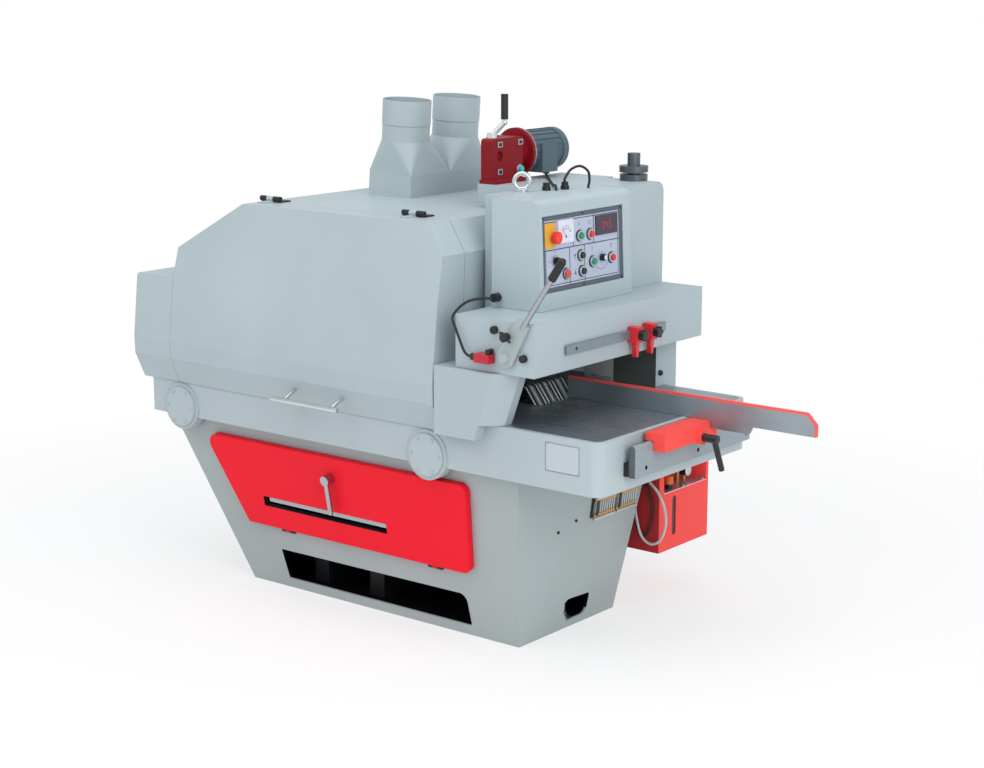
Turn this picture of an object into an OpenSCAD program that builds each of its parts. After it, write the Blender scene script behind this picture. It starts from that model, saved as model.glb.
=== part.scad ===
// Multi rip saw: floor-standing, with a chain feed through a bed casting and the saw arbor above it.
// X runs along the feed, positive towards the infeed end. Negative Y is the door side. Z is up.
// The origin is the middle of the base on the floor. All sizes are in millimetres.

/* [Base] */
// Length of the base at the floor
base_l = 1282; // [1200:1:1360]
// Width of the base at the floor
base_w = 558; // [520:1:600]
// Wall of the base
base_wall = 8; // [6:0.5:10]
// Thickness of the base door
door_t = 26; // [20:1:30]
// Outer radius of the levelling screw washers
foot_r = 32; // [24:1:36]

/* [Bed] */
// Height of the table above the floor
table_h = 820; // [810:1:840]
// Width of the bed casting
bed_w = 890; // [870:1:900]
// Reach of the bed casting from the origin towards the infeed
bed_infeed = 1090; // [1050:1:1130]
// Reach of the bed casting from the origin towards the outfeed
bed_outfeed = 1020; // [1010:1:1030]
// Wall of the bed casting
bed_wall = 22; // [16:1:26]
// Thickness of the table plate
plate_t = 12; // [8:1:16]
// Depth of the bed casting
bed_h = 180; // [174:1:186]

/* [Feed] */
// Distance of the front chain shaft from the origin
front_shaft_x = 375; // [365:1:385]
// Distance of the rear chain shaft from the origin
rear_shaft_x = 835; // [825:1:840]
// Depth of the chain shafts below the table
shaft_drop = 144; // [140:1:148]
// Width of the feed chain
chain_w = 230; // [200:1:236]
// Thickness of a chain slat
slat_t = 20; // [16:1:22]
// Radius of a chain shaft
chain_shaft_r = 24; // [20:1:28]

/* [Hood] */
// Height of the hood roof above the table
hood_rise = 642; // [635:1:650]
// Thickness of the hood sheet
sheet = 4; // [3:0.5:5]
// Distance of the hood's rear wall from the origin
hood_far = 556; // [552:1:562]
// Distance of the door seam from the origin, on the door side
seam_y = 330; // [320:1:340]
// Outer radius of a dust outlet
duct_r = 90; // [84:1:94]
// Distance between the two dust outlets
duct_pitch = 286; // [280:1:292]

/* [Saw] */
// Radius of a saw blade
blade_r = 150; // [140:1:152]
// Number of saw blades
blades = 5; // [3:1:6]
// Radius of the arbor
arbor_r = 35; // [30:1:40]
// Distance of the arbor from the origin, towards the outfeed
arbor_x = 240; // [230:1:250]
// Radius of the main motor
motor_r = 140; // [120:1:150]

/* [Infeed head] */
// Height of the clear throat under the beam
throat_h = 183; // [175:1:190]
// Height of the beam
beam_h = 177; // [170:1:184]
// Front of the beam
beam_x = 850; // [840:1:860]
// Near end of the beam, on the door side
beam_near = 475; // [470:1:480]
// Height of the control box
control_h = 365; // [355:1:370]
// Width of the control box
control_w = 529; // [520:1:534]
// Lean of the control panel in degrees
panel_tilt = 2.5; // [0:0.5:4]

/* [Fence] */
// Length of the fence
fence_l = 988; // [960:1:988]
// Height of the fence above the table
fence_h = 78; // [70:1:82]
// Thickness of the fence
fence_t = 8; // [6:0.5:10]
// Place of the fence across the table
fence_y = 58; // [40:1:70]

/* [Hidden] */
$fn = 64;

// Overrun of every cut past the face that it opens
over = 5;
// Running clearance of a turning or sliding piece, and the gap between covers
run = 0.06;
gap = 1;

// Lean of the base walls as a share of height
side_lean_share = 0.19;
infeed_lean_share = 0.138;
outfeed_lean_share = 0.469;
side_tilt = atan(side_lean_share);
slope_share = sqrt(1 + side_lean_share * side_lean_share);
end_slope_share = sqrt(1 + infeed_lean_share * infeed_lean_share);

// Heights that stack up from the floor
base_h = table_h - bed_h;
shaft_z = table_h - shaft_drop;
hood_h = table_h + hood_rise;
table_under = table_h - plate_t;
beam_z = table_h + throat_h;
beam_top = beam_z + beam_h;
head_top = beam_top + control_h;

// Points of a convex outline moved inwards, for a wall of even thickness
function unit(v) = v / norm(v);
function wrap(i, n) = (i + n) % n;
function left_of(v) = [-v[1], v[0]];
function cross2(a, b) = a[0] * b[1] - a[1] * b[0];
function inset(p, t) = [for (i = [0 : len(p) - 1])
    let(a = p[wrap(i - 1, len(p))], b = p[i], c = p[wrap(i + 1, len(p))],
        u = unit(b - a), v = unit(c - b), q = b + t * left_of(u), r = b + t * left_of(v))
    q + u * cross2(r - q, v) / cross2(u, v)];

// Outline with round corners, one radius for each corner
function corner(a, b, c, r, n) =
    let(u = unit(a - b), v = unit(c - b), h = acos(u * v) / 2,
        m = b + unit(u + v) * r / sin(h), s = b + u * r / tan(h) - m, e = b + v * r / tan(h) - m,
        f = atan2(s[1], s[0]), g = atan2(e[1], e[0]) - f, d = g > 180 ? g - 360 : g < -180 ? g + 360 : g)
    [for (i = [0 : n]) m + r * [cos(f + d * i / n), sin(f + d * i / n)]];
function rounded(p, r, n = 8) = [for (i = [0 : len(p) - 1])
    each r[i] == 0 ? [p[i]] : corner(p[wrap(i - 1, len(p))], p[i], p[wrap(i + 1, len(p))], r[i], n)];
function rect(x, y) = [[x[0], y[0]], [x[1], y[0]], [x[1], y[1]], [x[0], y[1]]];
function soft_rect(x, y, r) = rounded(rect(x, y), [r, r, r, r]);

module box(x, y, z) {
    translate([x[0], y[0], z[0]]) cube([x[1] - x[0], y[1] - y[0], z[1] - z[0]]);
}
module slab(points, z) {
    translate([0, 0, z[0]]) linear_extrude(z[1] - z[0]) polygon(points);
}
module side_plate(points, y) {
    translate([0, y[1], 0]) rotate([90, 0, 0]) linear_extrude(y[1] - y[0]) polygon(points);
}
module end_plate(points, x) {
    translate([x[0], 0, 0]) rotate([90, 0, 90]) linear_extrude(x[1] - x[0]) polygon(points);
}
module rod_x(y, z, x, r) {
    translate([x[0], y, z]) rotate([0, 90, 0]) cylinder(h = x[1] - x[0], r = r);
}
module rod_y(x, z, y, r) {
    translate([x, y[1], z]) rotate([90, 0, 0]) cylinder(h = y[1] - y[0], r = r);
}
module rod_z(x, y, z, r) {
    translate([x, y, z[0]]) cylinder(h = z[1] - z[0], r = r);
}
// Places children on the leaning near wall: x along the wall, y up its slope, z outwards
module on_near_wall() {
    translate([0, -base_w / 2, 0]) rotate([90 + side_tilt, 0, 0]) children();
}
// Places children on the leaning infeed wall: x across it, y up its slope, z outwards
module on_infeed_wall() {
    translate([base_l / 2, 0, 0]) rotate([0, atan(infeed_lean_share), 0]) rotate([90, 0, 90]) children();
}
function up_wall(points) = [for (p = points) [p[0], p[1] * slope_share]];

// Base: two crossing wedges make the leaning box
function base_long(w, z0, z1) = [
    [-base_l / 2 - outfeed_lean_share * z0 + w, z0], [base_l / 2 + infeed_lean_share * z0 - w, z0],
    [base_l / 2 + infeed_lean_share * z1 - w, z1], [-base_l / 2 - outfeed_lean_share * z1 + w, z1]];
function base_cross(w, z0, z1) = [
    [-base_w / 2 - side_lean_share * z0 + w, z0], [base_w / 2 + side_lean_share * z0 - w, z0],
    [base_w / 2 + side_lean_share * z1 - w, z1], [-base_w / 2 - side_lean_share * z1 + w, z1]];
function base_rear(z) = -base_l / 2 - outfeed_lean_share * z;
function base_front(z) = base_l / 2 + infeed_lean_share * z;
door_z_shares = [0.9156, 0.3969];
door_high = door_z_shares[0] * base_h;
door_low = door_z_shares[1] * base_h;
door_rear_margins = [160, 172];
door_front_margins = [206, 192];
base_door_points = [[base_rear(door_high) + door_rear_margins[0], door_high],
    [base_front(door_high) - door_front_margins[0], door_high],
    [base_front(door_low) - door_front_margins[1], door_low],
    [base_rear(door_low) + door_rear_margins[1], door_low]];
base_door_radii = [40, 30, 30, 12];
door_slot_x = [-488, 120];
door_slot_z_shares = [0.5250, 0.5844];
door_slot_points = rect(door_slot_x, door_slot_z_shares * base_h);
base_slot_points = [[-466, 152], [430, 156], [440, 36], [-446, 36]];
base_slot_radii = [4, 34, 12, 4];
window_points = [[-62, 112], [112, 104], [104, 28], [-14, 26]];
window_radii = [30, 8, 34, 6];
door_rim = 46;
chain_r = table_h + gap - shaft_z;

module base_solid(w, z0, z1) {
    intersection() {
        side_plate(base_long(w, z0, z1), [-base_w, base_w]);
        end_plate(base_cross(w, z0, z1), [-base_l, base_l]);
    }
}
module base_frame() {
    color("#a6adac") difference() {
        base_solid(0, 0, base_h);
        base_solid(base_wall, base_wall, base_h + over);
        on_near_wall() translate([0, 0, -base_wall - over]) {
            linear_extrude(base_wall + 2 * over)
                polygon(rounded(up_wall(base_slot_points), base_slot_radii));
            linear_extrude(base_wall + 2 * over)
                polygon(up_wall(inset_back(base_door_points, door_rim)));
        }
        on_infeed_wall() translate([0, 0, -base_wall - over]) linear_extrude(base_wall + 2 * over)
            polygon(rounded([for (p = window_points) [p[0], p[1] * end_slope_share]], window_radii));
        box([-bed_outfeed, -rear_shaft_x], [-chain_w / 2 - bed_wall / 2, chain_w / 2 + bed_wall / 2],
            [shaft_z - chain_r - bed_wall, base_h + over]);
        for (p = foot_places) rod_z(p[0], p[1], [-over, base_wall + over], foot_bolt_r);
    }
}
function inset_back(p, t) = inset([for (i = [len(p) - 1 : -1 : 0]) p[i]], t);

// Levelling screws stand on the base floor, behind the window and at the corners
foot_bolt_r = 10;
foot_bolt_h = 62;
foot_nut_h = 16;
foot_nut_r = 17;
foot_inset = [52, 60];
foot_mid_y = 40;
foot_x = base_l / 2 - foot_inset[0];
foot_y = base_w / 2 - foot_inset[1];
foot_places = [for (x = [-foot_x, foot_x], y = [-foot_y, foot_mid_y, foot_y]) [x, y]];
module levelling_screws() {
    color("#8b8f91") for (p = foot_places) {
        rod_z(p[0], p[1], [0, foot_bolt_h], foot_bolt_r);
        difference() {
            union() {
                rod_z(p[0], p[1], [base_wall, 2 * base_wall], foot_r);
                translate([p[0], p[1], 2 * base_wall]) cylinder(h = foot_nut_h, r = foot_nut_r, $fn = 6);
            }
            rod_z(p[0], p[1], [0, foot_bolt_h], foot_bolt_r);
        }
    }
}

// Base door: hinged along its lower edge, with a slot and a turning latch
hinge_r = 7;
hinge_l = 60;
door_gap = 2;
hinge_places = [-406, 308];
hinge_s = door_low * slope_share - hinge_r - door_gap;
latch_x = -120;
latch_z_share = 0.79375;
latch_place = [latch_x, latch_z_share * base_h * slope_share];
latch_shaft_r = 11;
latch_hub_r = 19;
latch_hub_h = 34;
latch_arm_r = 9;
latch_arm_l = 128;
latch_cam_l = 58;
latch_cam_t = 8;
module at_latch() {
    on_near_wall() translate([latch_place[0], latch_place[1], 0]) children();
}
module at_door_hinge(x, shift, length) {
    on_near_wall() translate([x + shift, hinge_s, door_t / 2]) rotate([0, 90, 0])
        cylinder(h = length, r = hinge_r);
}
module base_door() {
    color("#e8303c") difference() {
        union() {
            on_near_wall() translate([0, 0, door_gap]) linear_extrude(door_t - door_gap)
                polygon(rounded(up_wall(base_door_points), base_door_radii));
            for (x = hinge_places) on_near_wall()
                translate([x, hinge_s - hinge_r, door_gap + hinge_r / 2])
                    cube([hinge_l / 3, 3 * hinge_r, hinge_r]);
            for (x = hinge_places) at_door_hinge(x, 0, hinge_l / 3);
        }
        on_near_wall() translate([0, 0, -over]) linear_extrude(door_t + 2 * over)
            polygon(up_wall(door_slot_points));
        for (x = hinge_places) on_near_wall()
            translate([x - over, hinge_s, door_t / 2]) rotate([0, 90, 0])
                cylinder(h = hinge_l + 2 * over, r = hinge_r / 2 + run);
        at_latch() translate([0, 0, -over]) cylinder(h = door_t + 2 * over, r = latch_shaft_r + run);
    }
}
module base_door_latch() {
    color("#c9ced2") at_latch() {
        translate([0, 0, -base_wall - latch_cam_t - 2 * gap]) {
            cylinder(h = door_t + base_wall + latch_cam_t + 3 * gap, r = latch_shaft_r);
            translate([0, -latch_hub_r / 2, 0]) cube([latch_cam_l, latch_hub_r, latch_cam_t]);
        }
        translate([0, 0, door_t + gap]) {
            cylinder(h = latch_hub_h, r = latch_hub_r);
            translate([0, 0, latch_hub_h - latch_arm_r]) rotate([90, 0, 0])
                cylinder(h = latch_arm_l, r = latch_arm_r);
            translate([0, -latch_arm_l, latch_hub_h - latch_arm_r]) sphere(r = latch_arm_r);
        }
    }
}

// Hinge pins and leaves of both doors stay with the frame
hood_hinge_places = [-505, 175];
hood_hinge_lift = 12;
hood_hinge_z = hood_h + hood_hinge_lift;
hood_hinge_l = 96;
hood_leaf_w = 52;
hood_leaf_t = 5;
hood_pin_r = 5;
hood_knuckle_r = 10;
module door_hinges() {
    color("#26282a") {
        for (x = hinge_places) {
            on_near_wall() translate([x - hinge_l / 3, hinge_s, door_t / 2]) rotate([0, 90, 0])
                cylinder(h = hinge_l, r = hinge_r / 2);
            for (s = [-hinge_l / 3 - gap / 2, hinge_l / 3 + gap / 2]) difference() {
                union() {
                    at_door_hinge(x, s, hinge_l / 3 - gap / 2);
                    on_near_wall() translate([x + s, hinge_s - hinge_r, 0])
                        cube([hinge_l / 3 - gap / 2, 2 * hinge_r, door_t / 2]);
                }
                on_near_wall() translate([x - hinge_l, hinge_s, door_t / 2]) rotate([0, 90, 0])
                    cylinder(h = 2 * hinge_l, r = hinge_r / 2);
            }
        }
        for (x = hood_hinge_places) {
            rod_x(-seam_y, hood_hinge_z, [x, x + hood_hinge_l], hood_pin_r);
            for (s = [0, 2 * hood_hinge_l / 3]) difference() {
                union() {
                    rod_x(-seam_y, hood_hinge_z, [x + s, x + s + hood_hinge_l / 3], hood_knuckle_r);
                    box([x + s, x + s + hood_hinge_l / 3], [-seam_y, -seam_y + hood_leaf_w],
                        [hood_h, hood_h + hood_leaf_t]);
                }
                rod_x(-seam_y, hood_hinge_z, [x - over, x + hood_hinge_l + over], hood_pin_r);
            }
        }
    }
}

// Bed casting: a long box with bearing lobes, open where the chain runs
finger_x = 588;
finger_drop = 36;
finger_z = table_h - finger_drop;
finger_hub_r = 15;
bed_corner = 42;
bed_lip = 16;
bed_deck = 26;
lobe_r = 88;
lobe_depth = 34;
lobe_out = 6;
cover_r = 75;
cover_t = 8;
shaft_places = [front_shaft_x, -rear_shaft_x];
chain_slot = [-bed_outfeed + bed_wall, finger_x + finger_hub_r + 4 * gap];
chain_slot_y = [-chain_w / 2 - over, chain_w / 2 + over];
belt_slot_half = 130;
belt_slot_x = [-arbor_x - belt_slot_half, -arbor_x + belt_slot_half];
belt_slot_y_shares = [0.37993, 0.54839];
belt_slot_y = belt_slot_y_shares * base_w;
bed_foot_x = [-900, 690];
bed_foot_y = [-370, 370];
bed_z = base_h;
boss_w = 40;
module bed_casting() {
    near_inner = -bed_w / 2 + bed_wall;
    color("#b4bec0") difference() {
        union() {
            difference() {
                slab(soft_rect([-bed_outfeed, bed_infeed], [-bed_w / 2, bed_w / 2], bed_corner),
                    [bed_z, table_h - gap]);
                slab(soft_rect([-bed_outfeed + bed_wall, bed_infeed - bed_wall],
                    [near_inner, -near_inner], bed_corner - bed_wall),
                    [bed_z + bed_wall, table_under - bed_deck]);
                slab(soft_rect([-bed_outfeed + bed_lip, bed_infeed - bed_lip],
                    [-bed_w / 2 + bed_lip, bed_w / 2 - bed_lip], bed_corner - bed_lip),
                    [table_under, table_h + over]);
                box(bed_foot_x, bed_foot_y, [bed_z - over, bed_z + bed_wall + over]);
                box([-bed_outfeed + bed_wall, 0], chain_slot_y, [bed_z - over, bed_z + bed_wall + over]);
            }
            for (x = shaft_places, s = [-1, 1])
                rod_y(x, shaft_z, s < 0 ? [-bed_w / 2 - lobe_out, -bed_w / 2 + lobe_depth]
                    : [bed_w / 2 - lobe_depth, bed_w / 2 + lobe_out], lobe_r);
            for (y = [chain_slot_y[0] - boss_w, chain_slot_y[1]])
                rod_y(finger_x, finger_z, [y, y + boss_w], finger_boss_r);
        }
        box(chain_slot, chain_slot_y, [table_under - bed_deck - over, table_h + over]);
        box(belt_slot_x, belt_slot_y, [table_under - bed_deck - over, table_h + over]);
        for (x = shaft_places) rod_y(x, shaft_z, [-bed_w, bed_w], chain_shaft_r + run);
        rod_y(finger_x, finger_z, [chain_slot_y[0] - boss_w - over, chain_slot_y[1] + boss_w + over],
            finger_shaft_r + run);
    }
}
module table_plate() {
    fit = bed_lip + gap / 2;
    color("#4b5056") difference() {
        slab(soft_rect([-bed_outfeed + fit, bed_infeed - fit], [-bed_w / 2 + fit, bed_w / 2 - fit],
            bed_corner - bed_lip), [table_under, table_h]);
        box(chain_slot, chain_slot_y, [table_under - over, table_h + over]);
        box(belt_slot_x, belt_slot_y, [table_under - over, table_h + over]);
    }
}
cover_screw_r = 5;
cover_screw_t = 4;
cover_screws = 6;
cover_pcd_share = 0.84;
module bearing_covers() {
    color("#b9c3c5") for (x = shaft_places, s = [-1, 1]) {
        face = s * (bed_w / 2 + lobe_out);
        rod_y(x, shaft_z, s < 0 ? [face - cover_t, face] : [face, face + cover_t], cover_r);
        for (i = [0 : cover_screws - 1]) {
            a = 360 * i / cover_screws;
            y = face + s * cover_t;
            rod_y(x + cover_pcd_share * cover_r * cos(a), shaft_z + cover_pcd_share * cover_r * sin(a),
                s < 0 ? [y - cover_screw_t, y] : [y, y + cover_screw_t], cover_screw_r);
        }
    }
}

// Feed chain: slats on a loop round the two shafts
chain_run = front_shaft_x + rear_shaft_x;
slat_r = chain_r - slat_t / 2;
chain_path = 2 * chain_run + 2 * PI * slat_r;
slats = 46;
slat_l_share = 0.9;
slat_l = slat_l_share * chain_path / slats;
groove_w = 8;
groove_d = 5;
// Place and turn of the point that lies a length along the chain
function chain_at(s) = s < chain_run ? [-rear_shaft_x + s, slat_r, 0]
    : s < chain_run + PI * slat_r ? let(a = 90 - 180 * (s - chain_run) / (PI * slat_r))
        [front_shaft_x + slat_r * cos(a), slat_r * sin(a), 90 - a]
    : s < 2 * chain_run + PI * slat_r ? [front_shaft_x - (s - chain_run - PI * slat_r), -slat_r, 180]
    : let(a = 270 - 180 * (s - 2 * chain_run - PI * slat_r) / (PI * slat_r))
        [-rear_shaft_x + slat_r * cos(a), slat_r * sin(a), 90 - a];
tooth_gap = 8;
sprocket_r = chain_r - slat_t - tooth_gap;
strap_slip = 0.4;
strap_w = 26;
strap_places = [-68, 42];
module chain_loop(y, r) {
    for (x = shaft_places) rod_y(x, shaft_z, y, r);
    box([-rear_shaft_x, front_shaft_x], y, [shaft_z - r, shaft_z + r]);
}
module feed_chain() {
    color("#4e5357") for (y = strap_places) difference() {
        chain_loop([y, y + strap_w], chain_r - slat_t + gap);
        chain_loop([y - over, y + strap_w + over], sprocket_r + strap_slip);
    }
    color("#5a5f63") for (i = [0 : slats - 1]) {
        p = chain_at((i + 0.5) * chain_path / slats);
        translate([p[0], 0, shaft_z + p[1]]) rotate([0, p[2], 0]) difference() {
            cube([slat_l, chain_w, slat_t], center = true);
            for (x = [-slat_l / 4, slat_l / 4]) translate([x, 0, slat_t / 2])
                cube([groove_w, chain_w + over, 2 * groove_d], center = true);
        }
    }
}
sprocket_w = 34;
sprocket_places = [-72, 38];
shaft_reach = bed_w / 2 - 2 * gap;
sprocket_notches = 9;
notch_r = 12;
module chain_shaft(x) {
    rod_y(x, shaft_z, [-shaft_reach, shaft_reach], chain_shaft_r);
    for (y = sprocket_places) difference() {
        rod_y(x, shaft_z, [y, y + sprocket_w], sprocket_r);
        for (i = [0 : sprocket_notches - 1]) {
            a = 360 * i / sprocket_notches;
            rod_y(x + sprocket_r * cos(a), shaft_z + sprocket_r * sin(a),
                [y - over, y + sprocket_w + over], notch_r);
        }
    }
}
module front_chain_shaft() {
    color("#8d9296") chain_shaft(front_shaft_x);
}
module rear_chain_shaft() {
    color("#8d9296") chain_shaft(-rear_shaft_x);
}

// Lower fingers: sloping strips that rise through the table and lie down under the wood
finger_shaft_r = 9;
finger_boss_r = 20;
finger_l = 88;
finger_back = 58;
finger_w = 8;
finger_pitch = 9.4;
fingers = 24;
finger_tip_w = 7;
module lower_fingers() {
    span = fingers * finger_pitch;
    color("#8a9094") {
        rod_y(finger_x, finger_z, [chain_slot_y[0] - boss_w + gap, chain_slot_y[1] + boss_w - gap],
            finger_shaft_r);
        difference() {
            for (i = [0 : fingers - 1]) {
                y = -span / 2 + i * finger_pitch;
                rod_y(finger_x, finger_z, [y, y + finger_w], finger_hub_r);
                side_plate([[finger_x - finger_hub_r, finger_z], [finger_x, finger_z - finger_hub_r],
                    [finger_x + finger_hub_r, finger_z],
                    [finger_x - finger_back + finger_tip_w, finger_z + finger_l],
                    [finger_x - finger_back - finger_tip_w / 2, finger_z + finger_l + finger_tip_w / 2]],
                    [y, y + finger_w]);
            }
            rod_y(finger_x, finger_z, [-span, span], finger_shaft_r);
        }
    }
}

// Hood: one outline along the feed crossed with one across it
hood_end = 440;
hood_rear = 838;
skirt_drop = 52;
hood_skirt = table_h - skirt_drop;
door_bulge = 51;
door_face = bed_w / 2 + door_bulge;
waist_rise = 110;
door_waist = table_h + waist_rise;
band_rise = 44;
door_band = table_h + band_rise;
door_clear = 5;
door_foot = bed_w / 2 + door_clear;
door_lean_share = 0.113;
hood_end_rises = [362, 538];
hood_end_bulge = 8;
hood_rear_rises = [346, 460];
hood_rear_step = 20;
hood_roof_x = [-495, 382];
hood_points = [[-hood_rear, hood_skirt], [hood_end, hood_skirt], [hood_end, table_h + hood_end_rises[0]],
    [hood_end + hood_end_bulge, table_h + hood_end_rises[1]], [hood_roof_x[1], hood_h],
    [hood_roof_x[0], hood_h], [-hood_rear + hood_rear_step, table_h + hood_rear_rises[1]],
    [-hood_rear, table_h + hood_rear_rises[0]]];
function near_profile(top, low) = [[-door_foot, low], [hood_far, low], [hood_far, top],
    [-door_face + door_lean_share * (top - door_waist), top], [-door_face, door_waist],
    [-door_face + 2, door_band]];
module hood_solid(t) {
    cut = t > 0 ? over : 0;
    long = inset(hood_points, t);
    cross = inset(near_profile(hood_h, hood_skirt), t);
    intersection() {
        side_plate(t > 0 ? [for (p = long) p[1] < hood_skirt + 2 * t ? [p[0], hood_skirt - over] : p]
            : long, [-hood_far - over, hood_far + over]);
        end_plate(t > 0 ? [for (p = cross) p[1] < hood_skirt + 2 * t
            ? [p[0] + (p[0] < 0 ? over / 2 : 0), hood_skirt - over] : p] : cross,
            [-hood_rear - over, hood_end + hood_far]);
    }
}
tunnel_far = 372;
tunnel_y = [-seam_y + 2 * bed_lip, tunnel_far];
tunnel_z = [table_h - 2 * plate_t, beam_z];
duct_foot_x = [-336, -133];
duct_foot_y = [62, 506];
duct_tilt = 3.8;
plinth_h = 14;
duct_mid_x = (duct_foot_x[0] + duct_foot_x[1]) / 2;
duct_mid_y = (duct_foot_y[0] + duct_foot_y[1]) / 2;
plinth_step = tan(duct_tilt) * (duct_foot_x[1] - duct_foot_x[0]) / 2;
module hood_walls() {
    difference() {
        hood_solid(0);
        hood_solid(sheet);
    }
}
module hood_shell() {
    color("#b0bcbf") difference() {
        union() {
            intersection() {
                hood_walls();
                box([-hood_rear - over, hood_end + hood_far], [-seam_y + gap, hood_far + over],
                    [hood_skirt - over, hood_h + over]);
            }
            side_plate([[duct_foot_x[0], hood_h - sheet], [duct_foot_x[1], hood_h - sheet],
                [duct_foot_x[1], hood_h + plinth_h - plinth_step],
                [duct_foot_x[0], hood_h + plinth_h + plinth_step]], duct_foot_y);
        }
        box([-bed_outfeed - over, beam_x], tunnel_y, tunnel_z);
        box([-hood_rear - over, hood_end + over], [-bed_w, bed_w / 2 + gap], [0, table_h]);
        box([-hood_rear - over, hood_end + over], [-bed_w, bed_w / 2 + lobe_out + cover_t + 2 * gap],
            [0, shaft_z + lobe_r + gap]);
        box([duct_foot_x[0] + sheet, duct_foot_x[1] - sheet],
            [duct_foot_y[0] + sheet, duct_foot_y[1] - sheet],
            [hood_h - over - sheet, hood_h + plinth_h + plinth_step + over]);
        rod_z(screw_x, screw_y, [hood_h - 2 * over, hood_h + 2 * over], screw_r + 3 * gap);
    }
}
module hood_door() {
    color("#aebabd") difference() {
        union() {
            intersection() {
                hood_walls();
                box([-hood_rear - over, hood_end + hood_far], [-hood_far - over, -seam_y - gap],
                    [hood_skirt - over, hood_h + over]);
            }
            for (x = hood_hinge_places) {
                rod_x(-seam_y, hood_hinge_z,
                    [x + hood_hinge_l / 3 + gap / 2, x + 2 * hood_hinge_l / 3 - gap / 2], hood_knuckle_r);
                box([x + hood_hinge_l / 3 + gap / 2, x + 2 * hood_hinge_l / 3 - gap / 2],
                    [-seam_y - hood_leaf_w, -seam_y], [hood_h - sheet / 2, hood_h + hood_leaf_t]);
            }
        }
        for (x = hood_hinge_places)
            rod_x(-seam_y, hood_hinge_z, [x - over, x + hood_hinge_l + over], hood_pin_r + run);
        box([-hood_rear - over, hood_end + over], [-bed_w / 2 - gap, 0], [0, table_h + gap]);
    }
}
handle_x = [-270, 49];
handle_posts = [-209, 17];
handle_drop = 21;
handle_z = table_h - handle_drop;
handle_reach = 95;
handle_y = -bed_w / 2 - handle_reach;
handle_r = 9;
post_r = 7;
post_rise = 9;
post_z = table_h + post_rise;
module hood_handle() {
    color("#d6dadd") {
        rod_x(handle_y, handle_z, handle_x, handle_r);
        for (x = handle_posts) translate([x, handle_y, handle_z])
            rotate([-90 - post_lean, 0, 0]) translate([0, 0, handle_r / 2])
                cylinder(h = post_l, r = post_r);
    }
}
post_foot_y = -door_foot - (door_face - door_foot - 2) * (post_z - hood_skirt) / (door_band - hood_skirt);
post_lean = -atan2(post_z - handle_z, post_foot_y - handle_y);
post_l = norm([post_foot_y - handle_y, post_z - handle_z]) - handle_r / 2;

// Side covers: the outfeed hood and the small cover beside the infeed throat
outfeed_x = 1035;
outfeed_rise = 349;
outfeed_top = table_h + outfeed_rise;
cover_top_x = [445, 696, 765];
cover_low_x = [445, 632, 700];
cover_out = 48;
cover_in = [9, 47];
cover_near = bed_w / 2 + cover_out;
cover_mid_y = -bed_w / 2 + cover_in[0];
cover_inner_y = -bed_w / 2 + cover_in[1];
module cover_layer(x, z) {
    slab([[x[0], -cover_near], [x[1], -cover_near], [x[2], cover_mid_y], [x[2], cover_inner_y],
        [x[0], cover_inner_y]], [z, z + gap]);
}
module side_covers() {
    color("#b0bcbf") {
        difference() {
            intersection() {
                end_plate(near_profile(outfeed_top, hood_skirt), [-outfeed_x, -hood_rear - gap]);
                side_plate(rounded(rect([-outfeed_x, -hood_rear - gap], [hood_skirt, outfeed_top]),
                    [0, 0, 0, bed_lip]), [-hood_far - over, hood_far + over]);
            }
            intersection() {
                end_plate(inset(near_profile(outfeed_top, hood_skirt), sheet),
                    [-outfeed_x + sheet, -hood_rear + over]);
                box([-outfeed_x, 0], [-hood_far, hood_far], [hood_skirt, outfeed_top]);
            }
            box([-outfeed_x - over, 0], [-bed_w, bed_w / 2 + lobe_out + cover_t + 2 * gap],
                [0, shaft_z + lobe_r + gap]);
            box([-outfeed_x - over, 0], [-bed_w / 2 - gap / 4, bed_w / 2 + gap], [0, table_h + gap]);
            box([-outfeed_x - over, 0], tunnel_y, tunnel_z);
        }
        hull() {
            cover_layer(cover_top_x, beam_z - 2 * gap);
            cover_layer(cover_low_x, table_h + gap / 2);
        }
        side_plate([[cover_low_x[0], hood_skirt], [cover_low_x[1] - bed_lip, hood_skirt],
            [cover_low_x[1], table_h + gap], [cover_low_x[0], table_h + gap]],
            [-cover_near, -bed_w / 2 - gap / 4]);
    }
}

// Dust duct: a box that splits into two round outlets
duct_box_z = hood_h + plinth_h;
duct_box_h = 74;
duct_taper_h = 116;
duct_l = 340;
spigot_l = 90;
neck_step = 2;
duct_sides = 48;
// Duct in its own frame, with its foot at zero height
module duct_form(t) {
    low = t > 0 ? -over : 0;
    x = [duct_foot_x[0] + t - duct_mid_x, duct_foot_x[1] - t - duct_mid_x];
    for (s = [-1, 1]) {
        y = s < 0 ? [duct_foot_y[0] + t, duct_mid_y + gap / 2]
            : [duct_mid_y - gap / 2, duct_foot_y[1] - t];
        box(x, y, [low, duct_box_h]);
        hull() {
            box(x, y, [duct_box_h - gap, duct_box_h]);
            translate([0, duct_mid_y + s * duct_pitch / 2, duct_box_h + duct_taper_h])
                cylinder(h = gap, r = duct_r - neck_step - t, $fn = duct_sides);
        }
        rod_z(0, duct_mid_y + s * duct_pitch / 2,
            [duct_box_h + duct_taper_h, duct_l - spigot_l + (t > 0 ? over : 0)], duct_r - neck_step - t);
        rod_z(0, duct_mid_y + s * duct_pitch / 2,
            [duct_l - spigot_l, duct_l + (t > 0 ? over : 0)], duct_r - t);
    }
}
module dust_duct() {
    color("#b2bfc2") translate([duct_mid_x, 0, duct_box_z]) rotate([0, duct_tilt, 0]) difference() {
        duct_form(0);
        duct_form(sheet);
    }
}

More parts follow.
